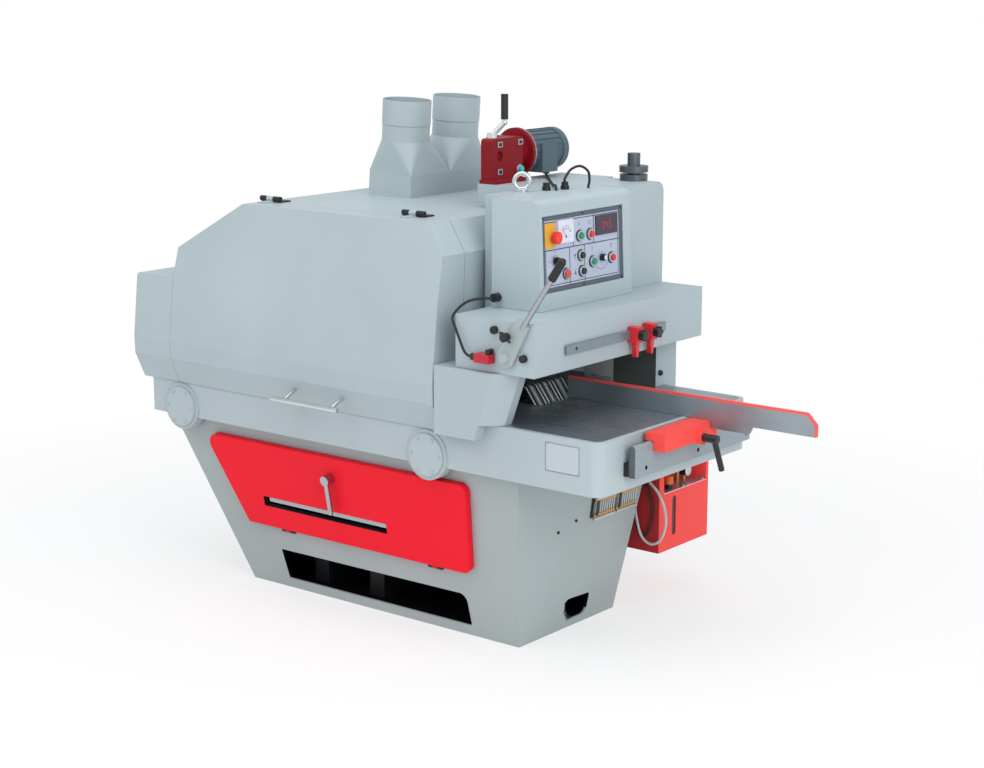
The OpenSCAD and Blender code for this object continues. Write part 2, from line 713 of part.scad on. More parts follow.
// Infeed beam: a box open below, with the finger shaft through it
beam_back = 525;
beam_wall = 10;
beam_far = 510;
lever_x = 741;
lever_rise = 241;
lever_z = table_h + lever_rise;
lever_shaft_r = 18;
plunger_x = 757;
plunger_rise = 313;
plunger_z = table_h + plunger_rise;
plunger_r = 11;
lever_swing = 30;
module infeed_beam() {
    color("#b4c0c3") difference() {
        box([beam_back, beam_x], [-beam_near, beam_far], [beam_z, beam_top]);
        box([beam_back + beam_wall, beam_x - beam_wall], [-beam_near + beam_wall, beam_far - beam_wall],
            [beam_z - over, beam_top - beam_wall]);
        rod_y(lever_x, lever_z, [-beam_near - over, beam_far + over], lever_shaft_r + run);
        for (a = [0, -lever_swing]) translate([lever_x, 0, lever_z]) rotate([0, a, 0])
            rod_y(plunger_dx, plunger_dz, [-beam_near - over, -beam_near + 2 * beam_wall], plunger_r + run);
    }
}

// Head casting: the column behind the control box, the far wall and the arbor bearings
head_front = 678;
head_back = 456;
head_near = -234;
head_bridge_x = 222;
head_bridge_y = 15;
bridge_gap = 18;
head_bridge_z = hood_h + bridge_gap;
head_step_y = 245;
head_corner = 40;
wall_near = 452;
wall_far = 504;
column_x = [560, 745];
column_y = [380, 510];
bearing_y_shares = [0.22581, 0.37634, 0.54839];
bearing_y = [[bearing_y_shares[0] * base_w, bearing_y_shares[1] * base_w],
    [bearing_y_shares[2] * base_w, wall_near]];
pulley_y_shares = [0.39785, 0.53047];
pulley_y = pulley_y_shares * base_w;
bearing_r = 82;
web_h = 46;
guide_places = [[-530, 420], [50, 420]];
guide_r = 15;
guide_rises = [266, 576];
guide_z = [for (r = guide_rises) table_h + r];
lug_h = 20;
lug_w = 60;
control_back = 530;
head_wall = 14;
// Cavities of the head, open below, with a boss left round the screw
module head_hollows() {
    top = head_top - head_wall;
    box([head_back + head_wall, beam_back - head_wall], [head_near + head_wall, beam_far - head_wall],
        [beam_z - over, top]);
    box([beam_back, head_front - head_wall], [head_step_y + head_wall, beam_far - head_wall],
        [beam_top - over, top - head_corner]);
    difference() {
        box([head_bridge_x + head_wall, head_back - head_wall],
            [head_bridge_y + head_wall, beam_far - head_wall], [head_bridge_z - over, top]);
        rod_z(screw_x, screw_y, [head_bridge_z - 2 * over, head_top], 3 * screw_r);
    }
}
module head_casting() {
    color("#b0bcbf") {
        difference() {
            union() {
                end_plate(rounded(rect([head_step_y, beam_far], [beam_top, head_top]),
                    [0, 0, head_corner, 0]), [head_back, head_front]);
                box([head_back, control_back - gap], [head_near, head_step_y], [beam_top, head_top]);
                box([head_back, beam_back], [head_near, beam_far], [beam_z, beam_top]);
                box([head_bridge_x, head_back], [head_bridge_y, beam_far], [head_bridge_z, head_top]);
            }
            head_hollows();
            rod_z(screw_x, screw_y, [head_bridge_z - over, head_top + over], screw_r + run);
        }
        box(column_x, column_y, [table_h, beam_z]);
        box(column_x, [bed_w / 2, column_y[1]], [bed_z + bed_wall, table_h]);
        difference() {
            union() {
                box([guide_places[0][0] - lug_w, guide_places[1][0] + lug_w], [wall_near, wall_far],
                    [table_h, guide_z[1] - gap]);
                for (b = bearing_y) rod_y(-arbor_x, arbor_z, b, bearing_r);
                box([-arbor_x - lug_w, -arbor_x + lug_w], [bearing_y[0][0], wall_near],
                    [arbor_z + bearing_r, arbor_z + bearing_r + web_h]);
                for (b = bearing_y) box([-arbor_x - lug_w, -arbor_x + lug_w], b,
                    [arbor_z, arbor_z + bearing_r + web_h]);
            }
            rod_y(-arbor_x, arbor_z, [0, hood_far], arbor_r + run);
        }
        for (g = guide_places) {
            rod_z(g[0], g[1], guide_z, guide_r);
            for (z = [guide_z[0], guide_z[1] - lug_h]) difference() {
                box([g[0] - lug_w / 2, g[0] + lug_w / 2], [g[1] - lug_w / 2, wall_near], [z, z + lug_h]);
                rod_z(g[0], g[1], [z - over, z + lug_h + over], guide_r + run);
            }
        }
    }
}
eye_place = [502, -90];
eye_turn = 38;
eye_r = 26;
eye_wire_r = 8;
eye_base_r = 20;
eye_base_h = 10;
cap_place = [585, 455];
cap_collar_r = 50;
cap_collar_h = 22;
cap_slot_h = 8;
cap_pin_r = 23;
cap_pin_h = 45;
cap_top = head_top + 2 * cap_collar_h + cap_slot_h;
module head_fittings() {
    color("#d4d8da") {
        rod_z(eye_place[0], eye_place[1], [head_top, head_top + eye_base_h], eye_base_r);
        translate([eye_place[0], eye_place[1], head_top + eye_base_h + eye_r])
            rotate([90, 0, eye_turn]) rotate_extrude() translate([eye_r, 0]) circle(r = eye_wire_r);
    }
    color("#4a5052") {
        rod_z(cap_place[0], cap_place[1], [head_top, head_top + cap_collar_h], cap_collar_r);
        rod_z(cap_place[0], cap_place[1], [head_top, cap_top + cap_pin_h], cap_pin_r);
        difference() {
            rod_z(cap_place[0], cap_place[1], [cap_top - cap_collar_h, cap_top], cap_collar_r + 2 * gap);
            rod_z(cap_place[0], cap_place[1], [head_top, cap_top + over], cap_pin_r);
            box([cap_place[0], cap_place[0] + 2 * cap_collar_r], [cap_place[1] - gap, cap_place[1] + gap],
                [head_top, cap_top + over]);
        }
    }
}

// Control box: sheet box with a leaning front, and the panel set into it
control_near = -291;
control_front = 735;
control_round = 24;
control_foot = beam_top + gap / 2;
panel_y = [-267, 190];
panel_z = [58, 313];
panel_recess = 7;
panel_t = 6;
control_points = [[control_back, control_foot], [control_front, control_foot],
    [control_front - tan(panel_tilt) * control_h, head_top], [control_back, head_top]];
module on_panel() {
    translate([control_front, 0, beam_top]) rotate([0, -panel_tilt, 0]) children();
}
module control_box() {
    color("#b2bdbe") difference() {
        side_plate(rounded(control_points, [0, 0, control_round, 0]),
            [control_near, control_near + control_w]);
        side_plate(rounded(inset(control_points, sheet), [0, 0, control_round - sheet, 0]),
            [control_near + sheet, control_near + control_w - sheet]);
        on_panel() box([-2 * panel_recess - panel_t, over], panel_y, panel_z);
    }
}
// Place on the panel from shares across it and down it
function at_panel(p) = [panel_y[0] + (panel_y[1] - panel_y[0]) * p[0],
    panel_z[1] - (panel_z[1] - panel_z[0]) * p[1]];
plate_front = -panel_recess;
button_r = 11;
bezel_r = 17;
bezel_h = 9;
stem_r = 4;
stem_l = 16;
cap_h = 9;
cap_lift = 5;
frame_w = 16;
frame_h = 3;
line_w = 3;
line_h = 0.6;
start_share = [0.465, 0.325];
stop_share = [0.595, 0.325];
up_share = [0.475, 0.585];
down_share = [0.485, 0.795];
feed_start_share = [0.62, 0.695];
feed_stop_share = [0.86, 0.69];
lamp_share = [0.29, 0.79];
selector_share = [0.16, 0.6];
knob_share = [0.735, 0.665];
estop_share = [0.135, 0.29];
yellow_x_shares = [0.045, 0.165];
yellow_y_shares = [0.1, 0.425];
meter_x_shares = [0.185, 0.37];
meter_y_shares = [0.08, 0.38];
display_x_shares = [0.665, 0.935];
display_y_shares = [0.1, 0.36];
row_share = 0.445;
top_line_shares = [0.385, 0.64];
low_line_shares = [0.335, 0.52];
button_shares = [start_share, stop_share, up_share, down_share, feed_start_share, feed_stop_share];
estop_stem_r = 11;
estop_r = 21;
estop_lift = 12;
estop_h = 15;
estop_collar_r = 16;
lamp_r = 14;
lamp_h = 12;
panel_screw_x_shares = [0.02, 0.5, 0.98];
panel_screw_y_shares = [0.03, 0.97];
panel_screw_r = 3.4;
panel_screw_h = 2;
module panel_block(xs, ys, h) {
    a = at_panel([xs[0], ys[1]]);
    b = at_panel([xs[1], ys[0]]);
    box([plate_front, plate_front + h], [a[0], b[0]], [a[1], b[1]]);
}
module panel_post(p, x, r) {
    c = at_panel(p);
    rod_x(c[0], c[1], [plate_front + x[0], plate_front + x[1]], r);
}
module control_panel() {
    side = gap / 2;
    color("#c3c6dc") on_panel() difference() {
        union() {
            box([plate_front - panel_t, plate_front], [panel_y[0] + side, panel_y[1] - side],
                [panel_z[0] + side, panel_z[1] - side]);
            difference() {
                box([plate_front, plate_front + frame_h], [panel_y[0] + side, panel_y[1] - side],
                    [panel_z[0] + side, panel_z[1] - side]);
                box([plate_front - over, plate_front + over], [panel_y[0] + frame_w, panel_y[1] - frame_w],
                    [panel_z[0] + frame_w, panel_z[1] - frame_w]);
            }
            panel_block([frame_w / (panel_y[1] - panel_y[0]), 1 - frame_w / (panel_y[1] - panel_y[0])],
                [row_share, row_share + line_w / (panel_z[1] - panel_z[0])], line_h);
            for (a = top_line_shares) panel_block([a, a + line_w / (panel_y[1] - panel_y[0])],
                [frame_w / (panel_z[1] - panel_z[0]), row_share], line_h);
            for (a = low_line_shares) panel_block([a, a + line_w / (panel_y[1] - panel_y[0])],
                [row_share, 1 - frame_w / (panel_z[1] - panel_z[0])], line_h);
            panel_block(yellow_x_shares, yellow_y_shares, 2 * gap);
            panel_block(meter_x_shares, meter_y_shares, cap_h);
            panel_block(display_x_shares, display_y_shares, cap_lift);
            panel_post(estop_share, [0, estop_lift - cap_lift - gap], estop_collar_r);
            panel_post(lamp_share, [0, lamp_h], lamp_r);
            for (p = button_shares) panel_post(p, [0, bezel_h], bezel_r);
            for (x = panel_screw_x_shares, y = panel_screw_y_shares)
                panel_post([x, y], [0, frame_h + panel_screw_h], panel_screw_r);
        }
        for (p = button_shares) {
            panel_post(p, [0, bezel_h + over], button_r + gap / 2);
            panel_post(p, [-panel_t - over, over], stem_r + run);
        }
        panel_post(estop_share, [-panel_t - over, 2 * bezel_r], estop_stem_r + run);
        for (p = [selector_share, knob_share]) panel_post(p, [-panel_t - over, over], stem_r + run);
    }
}
module push_button(p) {
    on_panel() {
        panel_post(p, [cap_lift, cap_lift + cap_h], button_r);
        panel_post(p, [cap_lift - stem_l, cap_lift], stem_r);
    }
}
module e_stop() {
    color("#e8321f") on_panel() {
        panel_post(estop_share, [-panel_t - over, estop_lift], estop_stem_r);
        panel_post(estop_share, [estop_lift, estop_lift + estop_h], estop_r);
        panel_post(estop_share, [estop_lift, estop_lift + estop_h + 3 * gap], estop_r - 4 * gap);
    }
}
module start_button() {
    color("#0f9a6a") push_button(start_share);
}
module stop_button() {
    color("#d6312c") push_button(stop_share);
}
module feed_start_button() {
    color("#0f9a6a") push_button(feed_start_share);
}
module feed_stop_button() {
    color("#d6312c") push_button(feed_stop_share);
}
module up_button() {
    color("#222426") push_button(up_share);
}
module down_button() {
    color("#222426") push_button(down_share);
}
selector_r = 13;
selector_h = 8;
selector_bar_w = 8;
selector_bar_h = 10;
module selector_switch() {
    c = at_panel(selector_share);
    color("#202224") on_panel() {
        panel_post(selector_share, [-panel_t - over, gap], stem_r);
        panel_post(selector_share, [gap, selector_h], selector_r);
        box([plate_front + selector_h, plate_front + selector_h + selector_bar_h],
            [c[0] - selector_bar_w / 2, c[0] + selector_bar_w / 2],
            [c[1] - selector_r, c[1] + selector_r]);
    }
}
knob_r = 12;
knob_h = 15;
knob_cap_r = 8;
module speed_knob() {
    color("#1d1f21") on_panel() {
        panel_post(knob_share, [-panel_t - over, gap], stem_r);
        panel_post(knob_share, [gap, knob_h], knob_r);
        panel_post(knob_share, [knob_h, knob_h + 4 * gap], knob_cap_r);
    }
}

// Lift lever on the near end of the beam, with the upper fingers on its shaft
lever_t = 11.5;
lever_slip = 1.5;
lever_y = [-beam_near - lever_slip - lever_t, -beam_near - lever_slip];
lever_hub_r = 35;
lever_lean = 34.2;
lever_plate_l = 142;
lever_plate_w = 68;
lever_rod_r = 9;
lever_rod_l = 339;
grip_l = 72;
grip_r = 14;
lever_boss_r = 17;
lever_boss_h = 12;
module on_lever() {
    translate([lever_x, 0, lever_z]) rotate([0, lever_lean, 0]) children();
}
lever_mid_y = lever_y[1] - lever_rod_r;
module lift_lever() {
    color("#c2c9cc") on_lever() difference() {
        union() {
            rod_y(0, 0, lever_y, lever_hub_r);
            side_plate([[-lever_hub_r, 0], [lever_hub_r, 0], [lever_plate_w / 4, lever_plate_l],
                [-lever_plate_w / 2, lever_plate_l]], lever_y);
            rod_y(0, 0, [lever_y[0] - lever_boss_h, lever_y[0]], lever_boss_r);
            rod_z(0, lever_mid_y, [lever_plate_l - lever_hub_r / 2, lever_rod_l], lever_rod_r);
        }
        rod_y(0, 0, [lever_y[0] - lever_boss_h / 2, lever_y[1] + over], lever_shaft_r - 4 * gap);
        rod_y(plunger_along[0], plunger_along[1], [lever_y[0] - over, lever_y[1] + over],
            plunger_r / 2 + run);
    }
}
// Place of the index plunger in the lever's own frame
plunger_dx = plunger_x - lever_x;
plunger_dz = plunger_z - lever_z;
plunger_along = [plunger_dx * cos(lever_lean) - plunger_dz * sin(lever_lean),
    plunger_dx * sin(lever_lean) + plunger_dz * cos(lever_lean)];
module lever_grip() {
    color("#151617") on_lever() difference() {
        union() {
            rod_z(0, lever_mid_y, [lever_rod_l - 2 * over, lever_rod_l - 2 * over + grip_l], grip_r);
            translate([0, lever_mid_y, lever_rod_l - 2 * over + grip_l]) sphere(r = grip_r - gap);
        }
        rod_z(0, lever_mid_y, [lever_plate_l, lever_rod_l], lever_rod_r);
    }
}
upper_fingers_n = 16;
upper_pitch = 14;
upper_w = 10;
upper_r = 172;
upper_droop = 20;
upper_hub_r = 34;
upper_tip = 14;
module upper_fingers() {
    span = upper_fingers_n * upper_pitch;
    color("#7e8488") {
        rod_y(lever_x, lever_z, [lever_y[0] - gap, beam_far - gap], lever_shaft_r - 4 * gap);
        difference() {
            union() {
                rod_y(lever_x, lever_z, [lever_y[1] + gap / 2, beam_far - gap], lever_shaft_r);
                translate([lever_x, 0, lever_z]) rotate([0, -upper_droop, 0]) {
                    for (i = [0 : upper_fingers_n - 1]) {
                        y = -span / 2 + i * upper_pitch;
                        rod_y(0, 0, [y, y + upper_w], upper_hub_r);
                        side_plate([[0, -upper_hub_r], [0, upper_hub_r], [-upper_r + upper_tip, upper_tip],
                            [-upper_r, -upper_tip]], [y, y + upper_w]);
                    }
                }
            }
            rod_y(lever_x, lever_z, [-beam_near - 2 * beam_wall, beam_far + over],
                lever_shaft_r - 4 * gap);
        }
    }
}
plunger_throw = 10;
plunger_knob_r = 15;
plunger_knob_h = 20;
cross_pin_r = 4;
cross_pin_l = 52;
module index_plunger() {
    color("#2a2c2e") {
        knob_y = lever_y[0] - plunger_throw;
        rod_y(plunger_x, plunger_z, [knob_y - gap, -beam_near - gap], plunger_r / 2);
        rod_y(plunger_x, plunger_z, [knob_y - plunger_knob_h, knob_y], plunger_knob_r);
        translate([plunger_x, knob_y - plunger_knob_h / 2, plunger_z])
            rotate([0, lever_lean, 0]) translate([-cross_pin_l / 2, 0, 0]) rotate([0, 90, 0])
                cylinder(h = cross_pin_l, r = cross_pin_r);
    }
}
buffer_places = [[692, 326], [811, 245]];
buffer_r = 13;
buffer_h = 13;
module stop_buffers() {
    color("#1c1d1e") for (p = buffer_places)
        rod_y(p[0], table_h + p[1], [-beam_near - buffer_h, -beam_near], buffer_r);
}
switch_x = [628, 690];
switch_rises = [216, 246];
switch_z = [for (r = switch_rises) table_h + r];
switch_t = 34;
switch_roller_r = 9;
module limit_switch() {
    color("#d8222c") {
        box(switch_x, [-beam_near - switch_t, -beam_near], switch_z);
        rod_y(switch_x[1] - switch_roller_r, switch_z[1] + switch_roller_r,
            [-beam_near - switch_t + over, -beam_near - over], switch_roller_r);
    }
}

// Cables: a round tube swept along points chosen by hand
cable_r = 4.5;
cable_sides = 10;
cable_steps = 4;
hose_r = 5;
gland_r = 12;
gland_l = 26;
function catmull(a, b, c, d, t) = 0.5 * (2 * b + (c - a) * t + (2 * a - 5 * b + 4 * c - d) * t * t
    + (3 * b - a - 3 * c + d) * t * t * t);
function path_point(p, i) = p[max(0, min(len(p) - 1, i))];
function smooth_path(p, n) = [for (i = [0 : len(p) - 2], k = [0 : n - 1])
    catmull(path_point(p, i - 1), p[i], p[i + 1], path_point(p, i + 2), k / n), p[len(p) - 1]];
function tangent(p, i) = unit(path_point(p, i + 1) - path_point(p, i - 1));
// Frames carried along the path, so that the tube does not twist
function carry(n, t) = unit(n - t * (n * t));
start_side = [0.3, 0.5, 0.81];
function frames(p, i, n) = i >= len(p) ? []
    : let(m = carry(n, tangent(p, i))) concat([m], frames(p, i + 1, m));
module tube(points, r, steps, sides) {
    p = smooth_path(points, steps);
    n = len(p);
    f = frames(p, 0, start_side);
    rings = [for (i = [0 : n - 1], k = [0 : sides - 1]) let(a = 360 * k / sides, t = tangent(p, i))
        p[i] + r * (cos(a) * f[i] + sin(a) * cross(t, f[i]))];
    walls = [for (i = [0 : n - 2], k = [0 : sides - 1])
        let(a = i * sides + k, b = i * sides + (k + 1) % sides) [a, a + sides, b + sides, b]];
    polyhedron(rings, concat([[for (k = [0 : sides - 1]) k]], walls,
        [[for (k = [sides - 1 : -1 : 0]) (n - 1) * sides + k]]), convexity = 6);
}
// Routes: heights are from the table, from the head's top and from the tank's deck and near face
switch_route = [[607.5, -492, 231], [594, -492, 232], [576, -492, 244], [556, -492, 282], [537, -490, 318],
    [519, -483, 348], [510, -442, 372], [516, -396, 391], [540, -354, 397], [558, -330, 395],
    [558, -317.5, 395]];
module switch_cable() {
    color("#141516") translate([0, 0, table_h]) tube(switch_route, cable_r, cable_steps, cable_sides);
}
lead_route = [[272, 350, 10], [272, 349, 7], [290, 330, 5.5], [350, 262, 5.5], [430, 170, 5.5],
    [505, 84, 7], [548, 36, 15], [566, 16, 13], [570, 12, 6], [570, 12, 0.8]];
loop_route = [[570, 62, 26.8], [570, 62.5, 38], [579, 84, 67], [595, 116, 77], [608, 144, 58],
    [610, 150, 26], [608, 147, 8], [608, 147, 0.8]];
module motor_leads() {
    color("#141516") translate([0, 0, head_top]) {
        tube(lead_route, cable_r, cable_steps, cable_sides);
        tube(loop_route, cable_r, cable_steps, cable_sides);
    }
}
gland_places = [[540, -4], [570, 62]];
switch_end = switch_route[len(switch_route) - 1];
lead_gland_h = 9;
lead_gland_z = head_top + lead_route[0][2] + 2 * gap;
module cable_glands() {
    color("#18191a") {
        rod_x(switch_route[0][1], table_h + switch_route[0][2],
            [switch_route[0][0] + gap / 2, switch_x[0]], gland_r);
        rod_y(switch_end[0], table_h + switch_end[2], [control_near - gland_l, control_near],
            gland_r + 3 * gap);
        for (p = gland_places) {
            rod_z(p[0], p[1], [head_top, head_top + gland_l / 2], gland_r + 3 * gap);
            rod_z(p[0], p[1], [head_top + gland_l / 2, head_top + gland_l], gland_r);
        }
        rod_z(lead_route[0][0], lead_route[0][1], [lead_gland_z, lead_gland_z + lead_gland_h], gland_r);
    }
}

// Pointer bar on the beam front, with two sliding pointers
bar_x = [853, 862];
bar_y = [-314, 262];
bar_rises = [238, 268];
bar_z = [for (r = bar_rises) table_h + r];
bar_stud_r = 9;
bar_studs = [-290, 238];
pointer_places = [62, 150];
pointer_w = 34;
pointer_rises = [226, 280];
pointer_z = [for (r = pointer_rises) table_h + r];
pointer_front = 892;
pointer_knob_r = 15;
pointer_knob_h = 22;
prong_rise = 176;
prong_z = table_h + prong_rise;
prong_w = 12;
pointer_slip = 0.4;
module pointer_bar() {
    color("#ccd1d4") {
        box(bar_x, bar_y, bar_z);
        for (y = bar_studs) rod_x(y, (bar_z[0] + bar_z[1]) / 2, [beam_x, bar_x[0]], bar_stud_r);
    }
}
module pointer(y) {
    s = pointer_slip;
    difference() {
        box([bar_x[0] - gap, pointer_front], [y - pointer_w / 2, y + pointer_w / 2], pointer_z);
        box([bar_x[0] - over, bar_x[1] + s], [y - pointer_w, y + pointer_w], [bar_z[0] - s, bar_z[1] + s]);
    }
    end_plate([[y - prong_w, pointer_z[0] + over], [y - prong_w / 2, prong_z], [y + prong_w / 2, prong_z],
        [y + prong_w, pointer_z[0] + over]], [bar_x[1] + gap, pointer_front - 2 * over]);
    rod_x(y + gap, (bar_z[0] + bar_z[1]) / 2, [pointer_front, pointer_front + pointer_knob_h],
        pointer_knob_r);
    for (i = [0 : 4]) rod_x(y + gap + pointer_knob_r * cos(72 * i),
        (bar_z[0] + bar_z[1]) / 2 + pointer_knob_r * sin(72 * i),
        [pointer_front + over, pointer_front + pointer_knob_h], pointer_knob_r / 3);
}
module left_pointer() {
    color("#d8262e") pointer(pointer_places[0]);
}
module right_pointer() {
    color("#d8262e") pointer(pointer_places[1]);
}

// Fence: a long plate with a slanted tip, clamped to the rail at the table end
fence_in = 595;
fence_lift = 0.6;
fence_hang_x = [1183, 1345];
fence_hang = 25;
fence_tip = 36;
rail_x = [1112, 1136];
rail_y = [-315, 385];
rail_rises = [-132, -27];
rail_z = [for (r = rail_rises) table_h + r];
rail_holes = [-251, 57, 362];
rail_hole_r = 7;
rail_hole_drop = 107;
rail_hole_z = table_h - rail_hole_drop;
spacer_w = 40;
module fence_plate() {
    x = fence_in + fence_l;
    z = table_h + fence_lift;
    top = table_h + fence_h;
    color("#7c848a") side_plate(rounded([[fence_in, z], [fence_hang_x[0], z],
        [fence_hang_x[0], table_h - fence_hang], [fence_hang_x[1] - fence_hang / 2, table_h - fence_hang],
        [fence_hang_x[1], z], [x, z], [x, top - fence_tip], [x - fence_tip, top], [fence_in, top]],
        [0, 0, 0, over, 0, over, over, over, 0]), [fence_y - fence_t / 2, fence_y + fence_t / 2]);
}
clamp_y = [-215, 96];
clamp_x = [1106, 1182];
clamp_low_drop = 58;
clamp_low = table_h - clamp_low_drop;
clamp_slip = 0.5;
clamp_stud_y = -6;
clamp_stud_drop = 44;
clamp_stud_z = table_h - clamp_stud_drop;
clamp_stud_r = 9;
clamp_boss_r = 25;
clamp_boss_h = 14;
module fence_clamp() {
    s = clamp_slip;
    color("#e2504c") difference() {
        union() {
            box(clamp_x, clamp_y, [clamp_low, table_h]);
            rod_x(clamp_stud_y, clamp_stud_z, [clamp_x[1] - over, clamp_x[1] + clamp_boss_h], clamp_boss_r);
        }
        box([clamp_x[0] - over, rail_x[1] + s], [clamp_y[0] - over, clamp_y[1] + over], [0, rail_z[1] + s]);
        rod_x(clamp_stud_y, clamp_stud_z, [0, clamp_x[1] + clamp_boss_h + over], clamp_stud_r + run);
    }
}
clamp_hub_r = 14;
clamp_hub_h = 54;
clamp_arm_l = 125;
clamp_arm_r = 10;
clamp_arm_turn = -66;
module clamp_lever() {
    face = clamp_x[1] + clamp_boss_h + gap;
    color("#17181a") {
        rod_x(clamp_stud_y, clamp_stud_z, [rail_x[1] + gap, face], clamp_stud_r);
        translate([face, clamp_stud_y, clamp_stud_z]) {
            rotate([0, 90, 0]) cylinder(h = clamp_hub_h, r = clamp_hub_r);
            translate([clamp_hub_h - clamp_hub_r, 0, 0]) rotate([clamp_arm_turn, 0, 0])
                rotate([-90, 0, 0]) cylinder(h = clamp_arm_l, r = clamp_arm_r);
        }
    }
}
rail_round = 12;
module fence_rail() {
    color("#b3bdbf") difference() {
        union() {
            side_plate(rounded(rect(rail_x, rail_z), [0, 0, rail_round - gap, rail_round - gap]), rail_y);
            for (y = rail_holes) box([bed_infeed, rail_x[0]], [y - spacer_w / 2, y + spacer_w / 2],
                [rail_hole_z - spacer_w / 2, rail_hole_z + spacer_w / 2]);
        }
        for (y = rail_holes) rod_x(y, rail_hole_z, [bed_infeed - over, rail_x[1] + over], rail_hole_r);
    }
}

// Saw arbor, blades and drive
arbor_z = table_h + blade_r + 2 * gap;
arbor_near = -150;
blade_pitch_share = 0.08602;
blade_pitch = blade_pitch_share * base_w;
blade_t = 4;
collar_r = 58;
blade_teeth = 24;
gullet_r = 8;
arbor_pulley_r = 68;
motor_pulley_r = 102;
motor_z_share = 0.515625;
motor_z = motor_z_share * base_h;
motor_y = [-235, 185];
motor_shaft_r = 24;
belt_n = 4;
belt_pitch_share = 0.22973;
belt_pitch = belt_pitch_share * (pulley_y[1] - pulley_y[0]);
belt_w_share = 0.16216;
belt_w = belt_w_share * (pulley_y[1] - pulley_y[0]);
belt_t = 9;
belt_clear = 0.8;
function blade_y(i) = (i - (blades - 1) / 2) * blade_pitch;
module pulley(x, z, r) {
    difference() {
        rod_y(x, z, pulley_y, r);
        for (i = [0 : belt_n - 1]) difference() {
            y = (pulley_y[0] + pulley_y[1]) / 2 + (i - (belt_n - 1) / 2) * belt_pitch;
            rod_y(x, z, [y - belt_w / 2 - gap, y + belt_w / 2 + gap], r + over);
            rod_y(x, z, [y - belt_w, y + belt_w], r - belt_t);
        }
    }
}
module saw_arbor() {
    color("#9aa0a4") {
        rod_y(-arbor_x, arbor_z, [arbor_near, wall_near], arbor_r);
        for (i = [0 : blades]) {
            a = i == 0 ? blade_y(0) - collar_r : blade_y(i - 1) + blade_t / 2;
            b = i == blades ? bearing_y[0][0] - gap : blade_y(i) - blade_t / 2;
            difference() {
                rod_y(-arbor_x, arbor_z, [a, b], collar_r);
                rod_y(-arbor_x, arbor_z, [-hood_far, hood_far], arbor_r);
            }
        }
        difference() {
            pulley(-arbor_x, arbor_z, arbor_pulley_r);
            rod_y(-arbor_x, arbor_z, [0, hood_far], arbor_r);
        }
    }
}
module saw_blades() {
    color("#c4c9cc") for (i = [0 : blades - 1]) difference() {
        rod_y(-arbor_x, arbor_z, [blade_y(i) - blade_t / 2, blade_y(i) + blade_t / 2], blade_r);
        rod_y(-arbor_x, arbor_z, [-hood_far, hood_far], arbor_r);
        for (k = [0 : blade_teeth - 1]) {
            a = 360 * k / blade_teeth;
            rod_y(-arbor_x + blade_r * cos(a), arbor_z + blade_r * sin(a),
                [blade_y(i) - blade_t, blade_y(i) + blade_t], gullet_r);
        }
    }
}
fin_n = 20;
fin_t = 5;
fin_h = 9;
motor_foot_drop = 20;
motor_foot_z = motor_z - motor_r - motor_foot_drop;
motor_box = [90, 70];
module main_motor() {
    color("#6d7a80") difference() {
        union() {
            rod_y(-arbor_x, motor_z, motor_y, motor_r - fin_h);
            for (i = [0 : fin_n - 1]) translate([-arbor_x, 0, motor_z]) rotate([0, 360 * i / fin_n, 0])
                box([-fin_t / 2, fin_t / 2], [motor_y[0] + 4 * fin_h, motor_y[1] - 4 * fin_h],
                    [0, motor_r]);
            for (x = [-1, 1]) box([-arbor_x + x * motor_r - motor_box[1] / 2,
                -arbor_x + x * motor_r + motor_box[1] / 2],
                [motor_y[0] + 6 * fin_h, motor_y[1] - 6 * fin_h], [base_wall, motor_foot_z]);
            box([-arbor_x - motor_r, -arbor_x + motor_r], [motor_y[0] + 6 * fin_h, motor_y[1] - 6 * fin_h],
                [motor_foot_z - 2 * fin_h, motor_z - motor_r / 2]);
        }
        rod_y(-arbor_x, motor_z, [motor_y[0] + 4 * fin_h, motor_y[1] + over], motor_shaft_r + run);
    }
}
module motor_pulley() {
    color("#8d9296") {
        rod_y(-arbor_x, motor_z, [motor_y[0] + 5 * fin_h, pulley_y[1] - gap], motor_shaft_r);
        difference() {
            pulley(-arbor_x, motor_z, motor_pulley_r);
            rod_y(-arbor_x, motor_z, [0, hood_far], motor_shaft_r);
        }
    }
}
belt_sides = 40;
module belt_loop(t) {
    hull() {
        translate([-arbor_x, arbor_z]) circle(r = arbor_pulley_r - belt_t + belt_clear + t,
            $fn = belt_sides);
        translate([-arbor_x, motor_z]) circle(r = motor_pulley_r - belt_t + belt_clear + t,
            $fn = belt_sides);
    }
}
module drive_belts() {
    color("#1b1c1d") for (i = [0 : belt_n - 1]) {
        y = (pulley_y[0] + pulley_y[1]) / 2 + (i - (belt_n - 1) / 2) * belt_pitch;
        translate([0, y + belt_w / 2, 0]) rotate([90, 0, 0]) linear_extrude(belt_w) difference() {
            belt_loop(belt_t);
            belt_loop(0);
        }
    }
}

